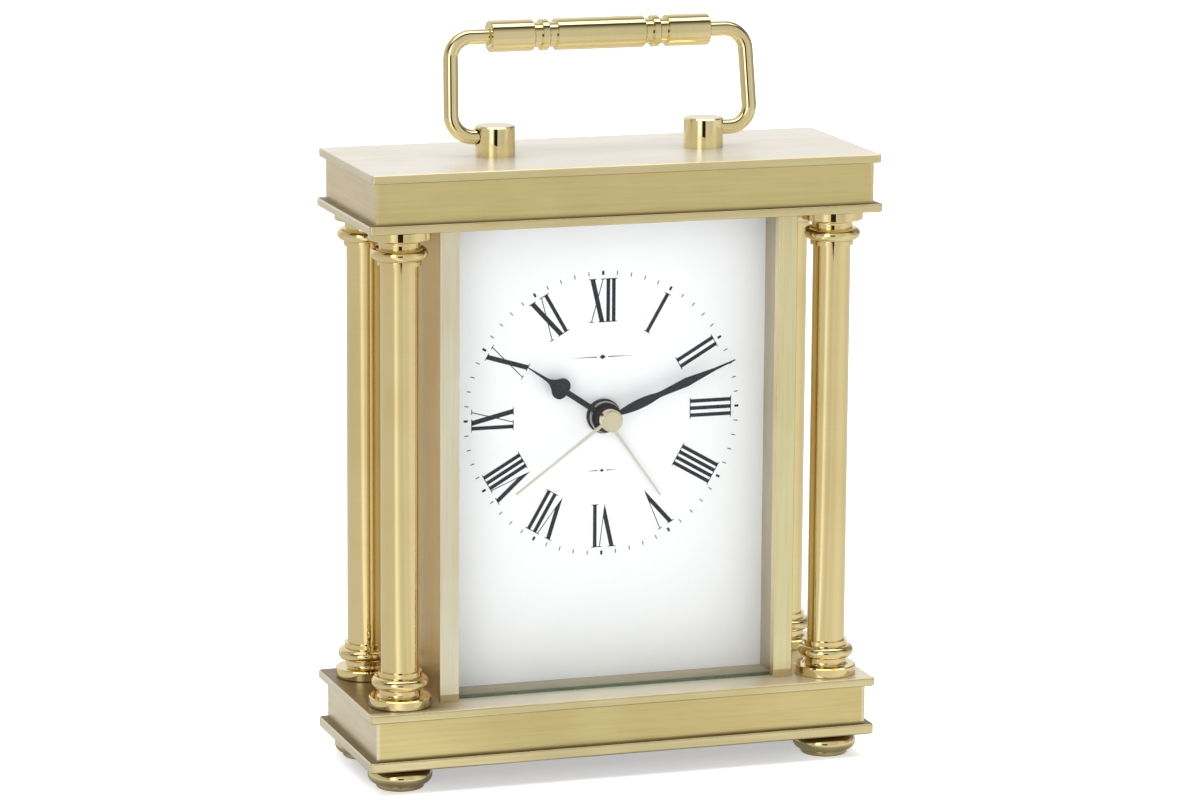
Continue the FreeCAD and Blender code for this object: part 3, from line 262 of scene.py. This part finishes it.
def cell_sleeve():
    """Printed sleeve of a dry cell: dark body, metallic band towards the button, bare ends."""
    low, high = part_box("battery")
    length = high.x - low.x
    g = Graph("cell_sleeve")
    share = g.math("DIVIDE", g.math("SUBTRACT", g.axes()[0], low.x), length)
    bare_below, band_above, bare_above = 0.008, 0.74, 0.972
    band = g.math("GREATER_THAN", share, band_above)
    bare = g.math("ADD", g.math("GREATER_THAN", share, bare_above),
                  g.math("LESS_THAN", share, bare_below))
    fine = g.noise(900, 2.0)
    tint = g.blend(band, rgb(0.02, 0.035, 0.03), rgb(0.72, 0.5, 0.24))
    tint = g.blend(bare, tint, rgb(0.7, 0.7, 0.68))
    shader = g.add("ShaderNodeBsdfPrincipled", {
        "Base Color": tint, "Metallic": g.math("MAXIMUM", band, bare),
        "Roughness": g.span(fine, 0.3, 0.7, 0.25, 0.32), "Normal": g.bump(fine, 0.000002),
        "Coat Weight": 0.3, "Coat Roughness": 0.1})
    return g.surface(shader)


def board_resist():
    """Green solder resist with raised tracks under it."""
    g = Graph("board_resist")
    cells = g.add("ShaderNodeTexVoronoi", {"Vector": g.place(), "Scale": 700.0},
                  feature="DISTANCE_TO_EDGE", distance="EUCLIDEAN")
    half_track = 0.09
    track = g.math("LESS_THAN", cells.outputs["Distance"], half_track)
    tint = g.blend(track, rgb(0.03, 0.2, 0.09), rgb(0.07, 0.33, 0.15))
    shader = g.add("ShaderNodeBsdfPrincipled", {
        "Base Color": tint, "Roughness": g.span(g.noise(400), 0.3, 0.7, 0.3, 0.4),
        "Normal": g.bump(track, 0.00002)})
    return g.surface(shader)


def wound_copper():
    """Enamelled wire laid in turns along X."""
    g = Graph("wound_copper")
    turns = g.add("ShaderNodeTexWave", {"Vector": g.place(), "Scale": 1500.0, "Distortion": 0.6},
                  bands_direction="X")
    height = turns.outputs["Fac"]
    tint = g.blend(height, rgb(0.35, 0.13, 0.04), rgb(0.8, 0.38, 0.16))
    shader = g.add("ShaderNodeBsdfPrincipled", {
        "Base Color": tint, "Metallic": 0.9, "Roughness": g.span(height, 0, 1, 0.4, 0.25),
        "Normal": g.bump(height, 0.00003)})
    return g.surface(shader)


def brushed(axis, end_axis):
    """Streaks along one axis, and along another where a face looks down the first."""
    def streaks(g):
        def along(name):
            return g.noise([BRUSH_ALONG if a == name else BRUSH_ACROSS for a in "XYZ"], 4.0, 0.6)

        mixed = g.add("ShaderNodeMix", data_type="FLOAT")
        for socket, source in ((0, g.facing(axis)), (2, along(axis)), (3, along(end_axis))):
            g.feed(mixed.inputs[socket], source)
        return mixed.outputs[0]
    return streaks


def satin(name, tint, axis, end_axis, coat=1.0, metallic=1.0):
    """Brushed brass under a satin lacquer."""
    return brass(name, tint, brushed(axis, end_axis), 0.36, 0.06, 0.0000012, coat, 0.3, metallic)


def plate(name, top, metal_top, coat_top):
    """Satin plate: its sides are painted paler, and its open upper face has its own tone and
    gloss; these tones are painted light and shade.
    """
    def tint(g):
        edges = g.blend(g.facing("X"), PLATE, PLATE_SIDE)
        return g.blend(g.facing("Z"), edges, resolve(g, top))

    def coat(g):
        return g.span(g.facing("Z"), 0.0, 1.0, 1.0, resolve(g, coat_top))

    def metallic(g):
        return g.span(g.facing("Z"), 0.0, 1.0, 1.0, metal_top)

    return satin(name, tint, "X", "Y", coat, metallic)


def painted_shade_corner(g):
    """1 around the left pair of pillars, where shade is painted on the upper face of the base."""
    x, y = g.axes()[:2]
    left = g.span(x, -0.044, -0.033, 1.0, 0.0)
    inward = g.span(y, -0.0205, -0.0180, 0.35, 1.0)
    return g.math("MULTIPLY", left, inward)


def base_floor(g):
    """Tone of the base's upper face, with painted shade around the left pair of pillars."""
    return g.shade(painted_shade_corner(g), FLOOR_TOP, PAINTED_SHADE)


def base_gloss(g):
    """Lacquer on the base's upper face, thinner where the painted shade lies, so that it mirrors
    less there.
    """
    return g.span(painted_shade_corner(g), 0.0, 1.0, 1.0, 0.35)


def stile():
    """Case wall: front face painted paler on the left than on the right, painted light; browner
    sides, a brown foot and a dim inside behind the glass, painted shade.
    """
    def tint(g):
        x, y, z = g.axes()
        # Painted light: the front face paler on the left, yellower on the right.
        front = g.blend(g.span(x, -0.03, 0.03, 0.0, 1.0), STILE_LEFT, STILE_RIGHT)
        # Painted shade along the foot of the front face.
        foot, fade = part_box("base_top_plate")[1].z + STILE_FOOT_END, 0.15 * MM
        front = g.blend(g.span(z, foot - fade, foot, 0.0, 1.0), STILE_FOOT, front)
        # Painted shade: browner side faces, and dimmer inner faces behind the glass.
        colour = g.blend(g.facing("X"), front, STILE_SIDE)
        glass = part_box("glass")
        behind = g.span(y, glass[0].y, glass[0].y + MM, 0.0, 1.0)
        within = g.math("LESS_THAN", g.math("ABSOLUTE", x), glass[1].x + MM)
        inside = g.math("MULTIPLY", g.math("MULTIPLY", behind, within), g.facing("X"))
        return g.blend(inside, colour, STILE_INSIDE)

    return satin("stile", tint, "Z", "X")


def ringed(axis):
    """Turning marks: rings packed close along the axis."""
    def streaks(g):
        return g.noise([RING_ALONG if a == axis else RING_AROUND for a in "XYZ"], 4.0, 0.6)
    return streaks


def polished(name, tint, streaks, rough=0.035):
    """Bright brass that mirrors the room."""
    return brass(name, tint, streaks, rough, 0.01, 0.0000001, 0.5, 0.02, streaky=0.15)


def paint_nodes():
    """Give every CAD node its material; the dial's printing takes the one this returns."""
    band_x = satin("band_along_x", BAND, "X", "Y")
    band_y = satin("band_along_y", BAND_SIDE, "Y", "X")
    base_y = satin("base_along_y", BASE_SIDE, "Y", "X")
    pillar = polished("turned_pillar", POLISHED, ringed("Z"))
    post = polished("turned_post", HANDLE, ringed("Z"))
    grip = polished("turned_grip", HANDLE, ringed("X"), 0.08)
    cap = brass("turned_cap", CAP, ringed("Y"), 0.22, 0.04, 0.0000003, 0.5, 0.1, streaky=0.2)
    back = satin("back_along_z", BAND, "Z", "X")
    wire = polished("drawn_wire", HANDLE, lambda g: g.noise(120))
    gilt = brass("gilt", rgb(0.72, 0.71, 0.60), lambda g: g.noise(900), 0.45, 0.05,
                 0.0000005, 0.4, 0.3, metallic=0.6, streaky=0.2)
    black = plain("hand_paint", rgb(0.018, 0.018, 0.023), rgb(0.024, 0.024, 0.028), 0.4, 1500,
                  specular=0.15)
    enamel = plain("dial_enamel", rgb(0.86, 0.865, 0.88), rgb(0.85, 0.855, 0.87), 0.5, 700,
                   0.000002)
    moulded = plain("moulded_black", rgb(0.018, 0.018, 0.02), rgb(0.026, 0.026, 0.028), 0.5, 1800,
                    0.00002)
    acetal = plain("acetal", rgb(0.86, 0.85, 0.8), rgb(0.8, 0.79, 0.73), 0.45, 900)
    zinc = plain("zinc_plate", rgb(0.66, 0.66, 0.64), rgb(0.55, 0.55, 0.52), 0.3, 1200,
                 0.000003, metallic=1.0)
    nickel = plain("nickel_plate", rgb(0.74, 0.72, 0.67), rgb(0.66, 0.64, 0.6), 0.22, 1200,
                   0.000002, metallic=1.0)
    magnet = plain("sintered", rgb(0.1, 0.1, 0.11), rgb(0.14, 0.14, 0.15), 0.5, 2500,
                   0.000008, metallic=0.6)
    groups = [
        # The plates carry painted light on their paler sides and upper faces, and painted shade
        # on the ledges' upper faces and around the base's left pillars.
        (plate("top_face", PLATE_TOP, 0.35, 0.5), ["top_plate"]),
        (plate("base_floor", base_floor, 0.4, base_gloss), ["base_top_plate"]),
        (plate("ledges", LEDGE_TOP, 0.95, 0.1), ["base_bottom_plate", "cornice_plate"]),
        (band_x, ["base_band_front", "base_band_back", "frieze_front", "frieze_back"]),
        (band_y, ["frieze_left", "frieze_right"]),
        (base_y, ["base_band_left", "base_band_right"]),
        (stile(), ["case_wall_left", "case_wall_right"]),
        (back, ["back_plate"]),
        (pillar, [n for n in NODES if n.startswith(("pillar_", "foot_front", "foot_back"))]),
        (post, ["handle_post_left", "handle_post_right"]),
        (grip, ["handle_grip"]),
        (cap, ["second_hand_cap"]),
        (wire, ["bail"]),
        (clear_glass(), ["glass"]),
        (enamel, ["dial"]),
        (black, ["hour_hand", "minute_hand", "dial_nut"]),
        (gilt, ["second_hand", "alarm_hand"]),
        (zinc, ["foot_screws", "cornice_screws", "handle_post_screws", "back_plate_screws",
                "stator"]),
        (moulded, ["movement_front_shell", "movement_back_shell", "time_set_knob",
                   "alarm_set_knob", "alarm_switch"]),
        (acetal, ["centre_wheel", "minute_work_wheel", "hour_wheel", "second_wheel",
                  "third_wheel", "step_wheel", "alarm_wheel"]),
        (magnet, ["rotor"]),
        (nickel, ["quartz_crystal", "buzzer", "battery_contact_positive",
                  "battery_contact_negative"]),
        (board_resist(), ["circuit_board"]),
        (wound_copper(), ["coil"]),
        (cell_sleeve(), ["battery"]),
    ]
    for material, names in groups:
        for name in names:
            NODES[name].data.materials.clear()
            NODES[name].data.materials.append(material)
    left = [n for n in NODES if n not in {x for _, names in groups for x in names}]
    if left:
        raise RuntimeError(f"no material for {left}")
    return black


# ---------------------------------------------------------------- dial printing

# Millimetres.  A numeral is drawn with u across it and v outwards from the inner radius.
TRACK_RADIUS = 30.43
TICK_HALF_LENGTH = 0.45
TICK_HALF_WIDTH, HOUR_TICK_HALF_WIDTH = 0.1, 0.25
INNER_RADIUS = 19.8
GLYPH_HEIGHT = 9.4
BAR = 0.8
SERIF_REACH = 0.38
SERIF_THICK = 0.17
FLARE_REACH = 0.34
PRINT_THICK = 0.03
# The printing's centre from the hands' axis.
PRINT_SHIFT = Vector((-0.15, 0.0, 0.45)) * MM
# Level, reach and half size of the lozenges that stand in for the words on the dial.
ORNAMENTS = [(12.3, 7.2, 0.75), (-12.4, 3.4, 0.5)]


def flared(u0, u1, width, flare):
    """Outline of a stroke from the inner to the outer end, widened where it meets a serif."""
    steps = [0, 0.08, 0.17, FLARE_REACH]
    levels = steps + [GLYPH_HEIGHT - step for step in reversed(steps)]

    def half(v):
        near = min(v, GLYPH_HEIGHT - v)
        if near >= FLARE_REACH:
            return width / 2
        return width / 2 + flare * (1 - near / FLARE_REACH) ** 2

    def middle(v):
        return u0 + (u1 - u0) * v / GLYPH_HEIGHT

    right = [(middle(v) + half(v), v) for v in levels]
    left = [(middle(v) - half(v), v) for v in reversed(levels)]
    return right + left


def serif(u0, u1, outer):
    """Outline of a hairline along one end of a numeral, from u0 to u1."""
    low = GLYPH_HEIGHT - SERIF_THICK if outer else 0.0
    return [(u0, low), (u1, low), (u1, low + SERIF_THICK), (u0, low + SERIF_THICK)]


def letter_x(c):
    """Thick stroke and hairline crossing at c.  Like all letters: bars, hairlines, serifs."""
    bars = [flared(c + 1.09, c - 1.09, 1.05, 0.12)]
    hairs = [flared(c - 1.3, c + 1.3, 0.2, 0.1)]
    serifs = [serif(c - 1.95, c - 0.2, True), serif(c + 0.8, c + 1.85, True),
              serif(c + 0.25, c + 1.95, False), serif(c - 1.85, c - 0.8, False)]
    return bars, hairs, serifs


def letter_v(c):
    """Thick stroke on the left, hairline on the right, both running to a sharp foot."""
    top_left, top_right, hair, foot = c - 2.05, c - 1.1, c + 1.2, c + 0.05
    half_hair = 0.1
    foot_level = -0.08
    left_slope = (foot - top_left) / (GLYPH_HEIGHT - foot_level)
    hair_slope = (hair + half_hair - foot) / (GLYPH_HEIGHT - foot_level)
    meet = (top_right + left_slope * GLYPH_HEIGHT - foot + hair_slope * foot_level) / (
        left_slope + hair_slope)
    thick = [(top_left, GLYPH_HEIGHT), (foot, foot_level),
             (foot + hair_slope * (meet - foot_level), meet), (top_right, GLYPH_HEIGHT)]
    hairline = [(hair - half_hair, GLYPH_HEIGHT), (foot + 0.02, foot_level + 1.0),
                (foot + 0.16, foot_level + 1.0), (hair + half_hair, GLYPH_HEIGHT)]
    return [thick], [hairline], [serif(c - 2.45, c - 0.7, True), serif(c + 0.7, c + 1.7, True)]


def bars_at(places):
    """Several upright bars under shared serifs."""
    bars = [flared(u, u, BAR, 0.18) for u in places]
    span = (min(places) - BAR / 2 - SERIF_REACH, max(places) + BAR / 2 + SERIF_REACH)
    return bars, [], [serif(*span, True), serif(*span, False)]


NUMERALS = {
    1: [bars_at([0.0])],
    2: [bars_at([-0.78, 0.78])],
    3: [bars_at([-1.55, 0.0, 1.55])],
    4: [bars_at([-2.0, -0.67, 0.67, 2.0])],
    5: [letter_v(0.3)],
    6: [letter_v(-0.75), bars_at([1.5])],
    7: [letter_v(-1.35), bars_at([0.6, 2.12])],
    8: [letter_v(-2.1), bars_at([-0.35, 1.0, 2.35])],
    9: [bars_at([-1.65]), letter_x(0.57)],
    10: [letter_x(0.0)],
    11: [letter_x(-0.3), bars_at([2.06])],
    12: [letter_x(-1.27), bars_at([1.17, 2.41])],
}


def close(mesh, first, last):
    """Faces of a prism between two rings of corners."""
    mesh.faces.new(last)
    mesh.faces.new(first[::-1])
    count = len(first)
    for i in range(count):
        j = (i + 1) % count
        mesh.faces.new((first[i], first[j], last[j], last[i]))


def prism(mesh, outline, hour_angle, radius, centre, front):
    """Raise one outline, given across and outwards from a radius, off the dial's face."""
    outward = Vector((math.sin(hour_angle), 0, math.cos(hour_angle)))
    across = Vector((math.cos(hour_angle), 0, -math.sin(hour_angle)))
    rings = []
    for depth in (0.0, PRINT_THICK):
        ring = []
        for u, v in outline:
            point = centre + (outward * (radius + v) + across * u) * MM
            ring.append(mesh.verts.new((point.x, front - depth * MM, point.z)))
        rings.append(ring)
    close(mesh, *rings)


def finish_mesh(mesh, name, material):
    """Turn a bmesh into an object of the scene."""
    bmesh.ops.recalc_face_normals(mesh, faces=mesh.faces)
    data = bpy.data.meshes.new(name)
    mesh.to_mesh(data)
    mesh.free()
    made = bpy.data.objects.new(name, data)
    SCENE.collection.objects.link(made)
    made.data.materials.append(material)
    return made


def unite(base, other):
    """Join a second set of closed prisms to the first as one clean surface."""
    joined = base.modifiers.new("unite", "BOOLEAN")
    joined.operation = "UNION"
    joined.solver = "EXACT"
    joined.object = other
    bpy.context.view_layer.update()
    result = bpy.data.meshes.new_from_object(
        base.evaluated_get(bpy.context.evaluated_depsgraph_get()))
    base.modifiers.clear()
    base.data = result
    bpy.data.objects.remove(other)
    return base


def dial_printing(ink):
    """Numerals, minute track and ornaments as thin raised print."""
    low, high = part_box("dial_nut")
    centre = (low + high) / 2 + PRINT_SHIFT
    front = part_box("dial")[0].y
    layers = [bmesh.new() for _ in range(3)]
    for hour, letters in NUMERALS.items():
        angle = math.radians(30 * hour)
        for letter in letters:
            for layer, outlines in zip(layers, letter):
                for outline in outlines:
                    prism(layer, outline, angle, INNER_RADIUS, centre, front)
    bars, hairs, serifs = [finish_mesh(m, n, ink) for m, n in
                           zip(layers, ("dial_numerals", "hairs", "serifs"))]
    numerals = unite(unite(bars, hairs), serifs)

    track = bmesh.new()
    for minute in range(60):
        half = TICK_HALF_WIDTH if minute % 5 else HOUR_TICK_HALF_WIDTH
        tick = [(-half, -TICK_HALF_LENGTH), (half, -TICK_HALF_LENGTH),
                (half, TICK_HALF_LENGTH), (-half, TICK_HALF_LENGTH)]
        prism(track, tick, math.radians(6 * minute), TRACK_RADIUS, centre, front)
    minute_track = finish_mesh(track, "dial_minute_track", ink)

    flourish = bmesh.new()
    squash, gap, half_line = 0.7, 0.5, 0.11
    for level, reach, size in ORNAMENTS:
        lozenge = [(-size, level), (0, level - squash * size),
                   (size, level), (0, level + squash * size)]
        prism(flourish, lozenge, 0.0, 0.0, centre, front)
        for side in (-1, 1):
            start = side * (size + gap)
            line = [(start, level - half_line), (side * reach, level), (start, level + half_line)]
            prism(flourish, line[::side], 0.0, 0.0, centre, front)
    ornament = finish_mesh(flourish, "dial_ornament", ink)
    for piece in (numerals, minute_track, ornament):
        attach(piece, "clock_case")


def dark_case_strip():
    """Dark matt strip laid on the case floor between the glass and the dial."""
    glass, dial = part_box("glass"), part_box("dial")
    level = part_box("base_top_plate")[1].z
    gap, low, high = 0.02 * MM, 0.01 * MM, 0.16 * MM
    near, far = glass[1].y + gap, dial[0].y - gap
    reach = glass[1].x - 0.2 * MM
    mesh = bmesh.new()
    rings = [[mesh.verts.new((x, y, level + z)) for x, y in
              ((-reach, near), (reach, near), (reach, far), (-reach, far))]
             for z in (low, high)]
    close(mesh, *rings)
    matt = plain("dark_strip", rgb(0.50, 0.43, 0.31), rgb(0.44, 0.39, 0.29), 0.7, 900, 0.000006)
    dark_strip = finish_mesh(mesh, "dark_case_strip", matt)
    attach(dark_strip, "clock_case")


# ---------------------------------------------------------------- stage, light and camera

def direction(azimuth, elevation):
    """Unit vector from the object towards a place; azimuth 0 is in front, 90 to the right."""
    a, e = math.radians(azimuth), math.radians(elevation)
    return Vector((math.sin(a) * math.cos(e), -math.cos(a) * math.cos(e), math.sin(e)))


# Brightness of the studio seen from the object, by compass direction in degrees: 0 is in
# front, 90 to the right.  A dark room holds a white backdrop, a strip light and a bank.
ROOM = [
    (-180, 0.95), (-155, 0.92), (-135, 0.60), (-100, 0.62), (-76, 0.54), (-58, 0.42),
    (-53, 0.55), (-49, 2.0), (-35, 2.0), (-30, 0.9), (-3, 0.72), (27, 0.64), (34, 0.68),
    (44, 0.80), (54, 0.78), (62, 0.62), (74, 0.46), (98, 0.44), (112, 0.24), (130, 0.36),
    (155, 0.92), (180, 0.95),
]
# Brightness of the white table top mirrored in the brass, by compass direction too.
TABLE = [
    (-180, 0.66), (-150, 0.64), (-58, 0.66), (-53, 0.72), (-47, 1.02), (-42, 1.12), (-36, 1.02),
    (-30, 0.86), (-26, 0.76), (-16, 0.68), (-6, 0.68), (5, 0.76), (17, 0.72), (30, 0.75),
    (43, 0.82), (60, 0.83), (78, 0.78), (90, 0.72), (150, 0.7), (180, 0.66),
]
# Share of the room's brightness by height in degrees, in front and behind.
FRONT_RISE = [(-90, 0.8), (0, 1.0), (30, 0.98), (39, 0.84), (46, 0.66), (54, 0.32), (61, 0.1),
              (72, 0.08), (90, 0.08)]
BACK_RISE = [(-90, 0.8), (0, 0.95), (40, 0.95), (52, 0.84), (62, 0.65), (72, 0.9), (90, 0.9)]
# Bank of light overhead: its brightness, the heights it fades in between, how much higher it
# starts behind, and how much x counts in those heights, which makes it long along x.
OVERHEAD = 2.2
OVERHEAD_FROM, OVERHEAD_FULL, OVERHEAD_BEHIND = (math.radians(a) for a in (72, 74.5, 5.5))
ALONG_X = 0.3
# What the camera itself sees behind the object.
BACKGROUND = 1.0
FLOOR_REACH = 40
FLOOR_GLOW = 0.45
# Half width, front, rear and height of the mirrored table top, and how far its shade reaches
# beyond the object's footprint, whose half sizes come last.
TABLE_HALF, TABLE_FRONT, TABLE_REAR, TABLE_LEVEL = 1.2, -0.66, 1.6, -0.001
SHADE_REACH = 0.02
FOOTPRINT = (0.05, 0.017)
# Where the camera's own dark shape stands, and its half width and half height.
CARD_AZIMUTH, CARD_DISTANCE, CARD_HALF, CARD_RISE = -14.5, 1.5, 0.26, 0.42
# The photo's viewpoint, fitted to the plates' corners: degrees, metres and millimetres of lens.
CAMERA_AZIMUTH, CAMERA_ELEVATION, CAMERA_ROLL = -18.4856, 11.2885, 0.401
CAMERA_DISTANCE = 1.0764
CAMERA_TARGET = Vector((0.00044, 0, 0.07796))
LENS, SENSOR = 150.97, 36.0


def curve(g, source, stops, low, high):
    """A brightness read from stops of (place, brightness) along low..high."""
    share = g.add("ShaderNodeMapRange", {"Value": source, "From Min": low, "From Max": high})
    ramp = g.add("ShaderNodeValToRGB", {"Fac": share.outputs[0]})
    marks = ramp.color_ramp.elements
    while len(marks) < len(stops):
        marks.new(0.5)
    for mark, (place, level) in zip(marks, stops):
        mark.position = (place - low) / (high - low)
        mark.color = grey(level)
    return ramp.outputs["Color"]


def by_compass(g, x, y, stops):
    """Stops given in degrees, read at the direction of (x, y)."""
    compass = g.math("ARCTAN2", x, g.math("MULTIPLY", y, -1.0))
    return curve(g, compass, [(math.radians(a), l) for a, l in stops], -math.pi, math.pi)


def studio_world():
    """The room as the object sees it, on a plain white for the camera."""
    world = bpy.data.worlds.new("studio")
    SCENE.world = world
    world.use_nodes = True
    g = Graph("world", world.node_tree)
    heading = g.add("ShaderNodeTexCoord").outputs["Generated"]
    x, y, z = g.axes(heading)
    across = g.math("MULTIPLY", x, ALONG_X)
    level = g.math("SQRT", g.math("ADD", g.math("MULTIPLY", y, y),
                                  g.math("MULTIPLY", across, across)))
    rise = g.math("ARCTAN2", z, level)
    room = by_compass(g, x, y, ROOM)
    front, back = (curve(g, rise, [(math.radians(a), l) for a, l in stops],
                         -math.pi / 2, math.pi / 2) for stops in (FRONT_RISE, BACK_RISE))
    behind = g.span(y, -0.03, 0.03, 0.0, 1.0)
    height = g.blend(behind, front, back)
    walls = g.math("MULTIPLY", room, height)
    from_top = g.math("SUBTRACT", rise, g.math("MULTIPLY", behind, OVERHEAD_BEHIND))
    above = g.span(from_top, OVERHEAD_FROM, OVERHEAD_FULL, 0.0, 1.0)
    lit = g.blend(above, walls, grey(OVERHEAD))
    seen = g.add("ShaderNodeLightPath").outputs["Is Camera Ray"]
    shown = g.blend(seen, lit, grey(BACKGROUND))
    light = g.add("ShaderNodeBackground", {"Color": shown, "Strength": 1.0})
    output = g.add("ShaderNodeOutputWorld")
    g.feed(output.inputs["Surface"], light)


def softbox(name, azimuth, elevation, distance, width, height, radiance, target):
    """Rectangular light aimed at the target, left out of reflections."""
    data = bpy.data.lights.new(name, "AREA")
    data.shape = "RECTANGLE"
    data.size, data.size_y = width, height
    data.energy = radiance * math.pi * width * height
    box = bpy.data.objects.new(name, data)
    SCENE.collection.objects.link(box)
    away = direction(azimuth, elevation)
    box.location = target + away * distance
    box.rotation_mode = "QUATERNION"
    box.rotation_quaternion = away.to_track_quat("Z", "Y")
    box.visible_glossy = False


def sheet_of(name, corners, material, hidden_from):
    """Flat sheet of the stage that the named kinds of ray don't meet."""
    mesh = bmesh.new()
    mesh.faces.new([mesh.verts.new(c) for c in corners])
    made = finish_mesh(mesh, name, material)
    for ray in hidden_from:
        setattr(made, f"visible_{ray}", False)


def floor():
    """Pale ground that takes the shadow."""
    g = Graph("pale_floor")
    tint = g.blend(g.span(g.noise(40), 0.3, 0.7, 0.0, 1.0), grey(0.93), grey(0.915))
    shader = g.add("ShaderNodeBsdfPrincipled", {
        "Base Color": tint, "Roughness": 0.9, "Specular IOR Level": 0.0,
        "Emission Color": grey(1), "Emission Strength": FLOOR_GLOW})
    r = FLOOR_REACH
    sheet_of("floor", [(-r, -r, 0), (r, -r, 0), (r, r, 0), (-r, r, 0)], g.surface(shader),
             ["glossy"])


def table():
    """The white table as polished surfaces mirror it: it ends in front of the object."""
    g = Graph("table_sheen")
    x, y = g.axes()[:2]
    reach = g.add("ShaderNodeVectorMath", {0: g.place()}, operation="LENGTH").outputs["Value"]
    nearer = g.span(reach, 0.1, 0.55, 1.04, 1.0)
    gaps = [g.math("MAXIMUM", g.math("SUBTRACT", g.math("ABSOLUTE", place), half), 0.0)
            for place, half in zip((x, y), FOOTPRINT)]
    clear = g.math("SQRT", g.math("ADD", *[g.math("MULTIPLY", gap, gap) for gap in gaps]))
    shaded = g.math("MULTIPLY", nearer, g.span(clear, 0.0, SHADE_REACH, 0.25, 1.0))
    sheen = g.math("MULTIPLY", by_compass(g, x, y, TABLE), shaded)
    shader = g.add("ShaderNodeEmission", {"Color": grey(1), "Strength": sheen})
    corners = [(-TABLE_HALF, TABLE_FRONT), (TABLE_HALF, TABLE_FRONT),
               (TABLE_HALF, TABLE_REAR), (-TABLE_HALF, TABLE_REAR)]
    sheet_of("table_top", [(x, y, TABLE_LEVEL) for x, y in corners], g.surface(shader),
             ["camera", "diffuse", "shadow"])


def dark_card(target):
    """The dark shape of the camera and its stand, which only shows in polished surfaces."""
    g = Graph("card")
    fine = g.noise(5, 1.0)
    shader = g.add("ShaderNodeEmission", {"Color": grey(0.02),
                                          "Strength": g.span(fine, 0, 1, 0.8, 1.0)})
    away = direction(CARD_AZIMUTH, 0)
    centre = target + away * CARD_DISTANCE
    side = Vector((0, 0, 1)).cross(away).normalized() * CARD_HALF
    rise = Vector((0, 0, CARD_RISE))
    sheet_of("camera_card", [centre - side - rise, centre + side - rise,
                             centre + side + rise, centre - side + rise],
             g.surface(shader), ["camera", "diffuse", "shadow", "transmission"])


def camera():
    """Camera at the photo's viewpoint."""
    roll = math.radians(CAMERA_ROLL)
    back = direction(CAMERA_AZIMUTH, CAMERA_ELEVATION)
    right = (-back).cross(Vector((0, 0, 1))).normalized()
    up = right.cross(-back)
    across = math.cos(roll) * right + math.sin(roll) * up
    upright = -math.sin(roll) * right + math.cos(roll) * up
    data = bpy.data.cameras.new("camera")
    data.lens, data.sensor_width = LENS, SENSOR
    data.clip_start, data.clip_end = 0.05, 100.0
    made = bpy.data.objects.new("camera", data)
    SCENE.collection.objects.link(made)
    turn = Matrix((across, upright, back)).transposed().to_4x4()
    made.matrix_world = Matrix.Translation(CAMERA_TARGET + back * CAMERA_DISTANCE) @ turn
    SCENE.camera = made


ink = paint_nodes()
dial_printing(ink)
dark_case_strip()

lowest, highest = CAD_BOX
middle = (lowest + highest) / 2
SCENE.view_settings.view_transform = "Standard"
studio_world()
floor()
table()
dark_card(middle)
softbox("front_fill", azimuth=-12, elevation=9, distance=2.0, width=2.6, height=1.5,
        radiance=0.95, target=middle)
softbox("overhead_fill", azimuth=180, elevation=72, distance=2.6, width=5.0, height=5.0,
        radiance=1.3, target=middle)
camera()
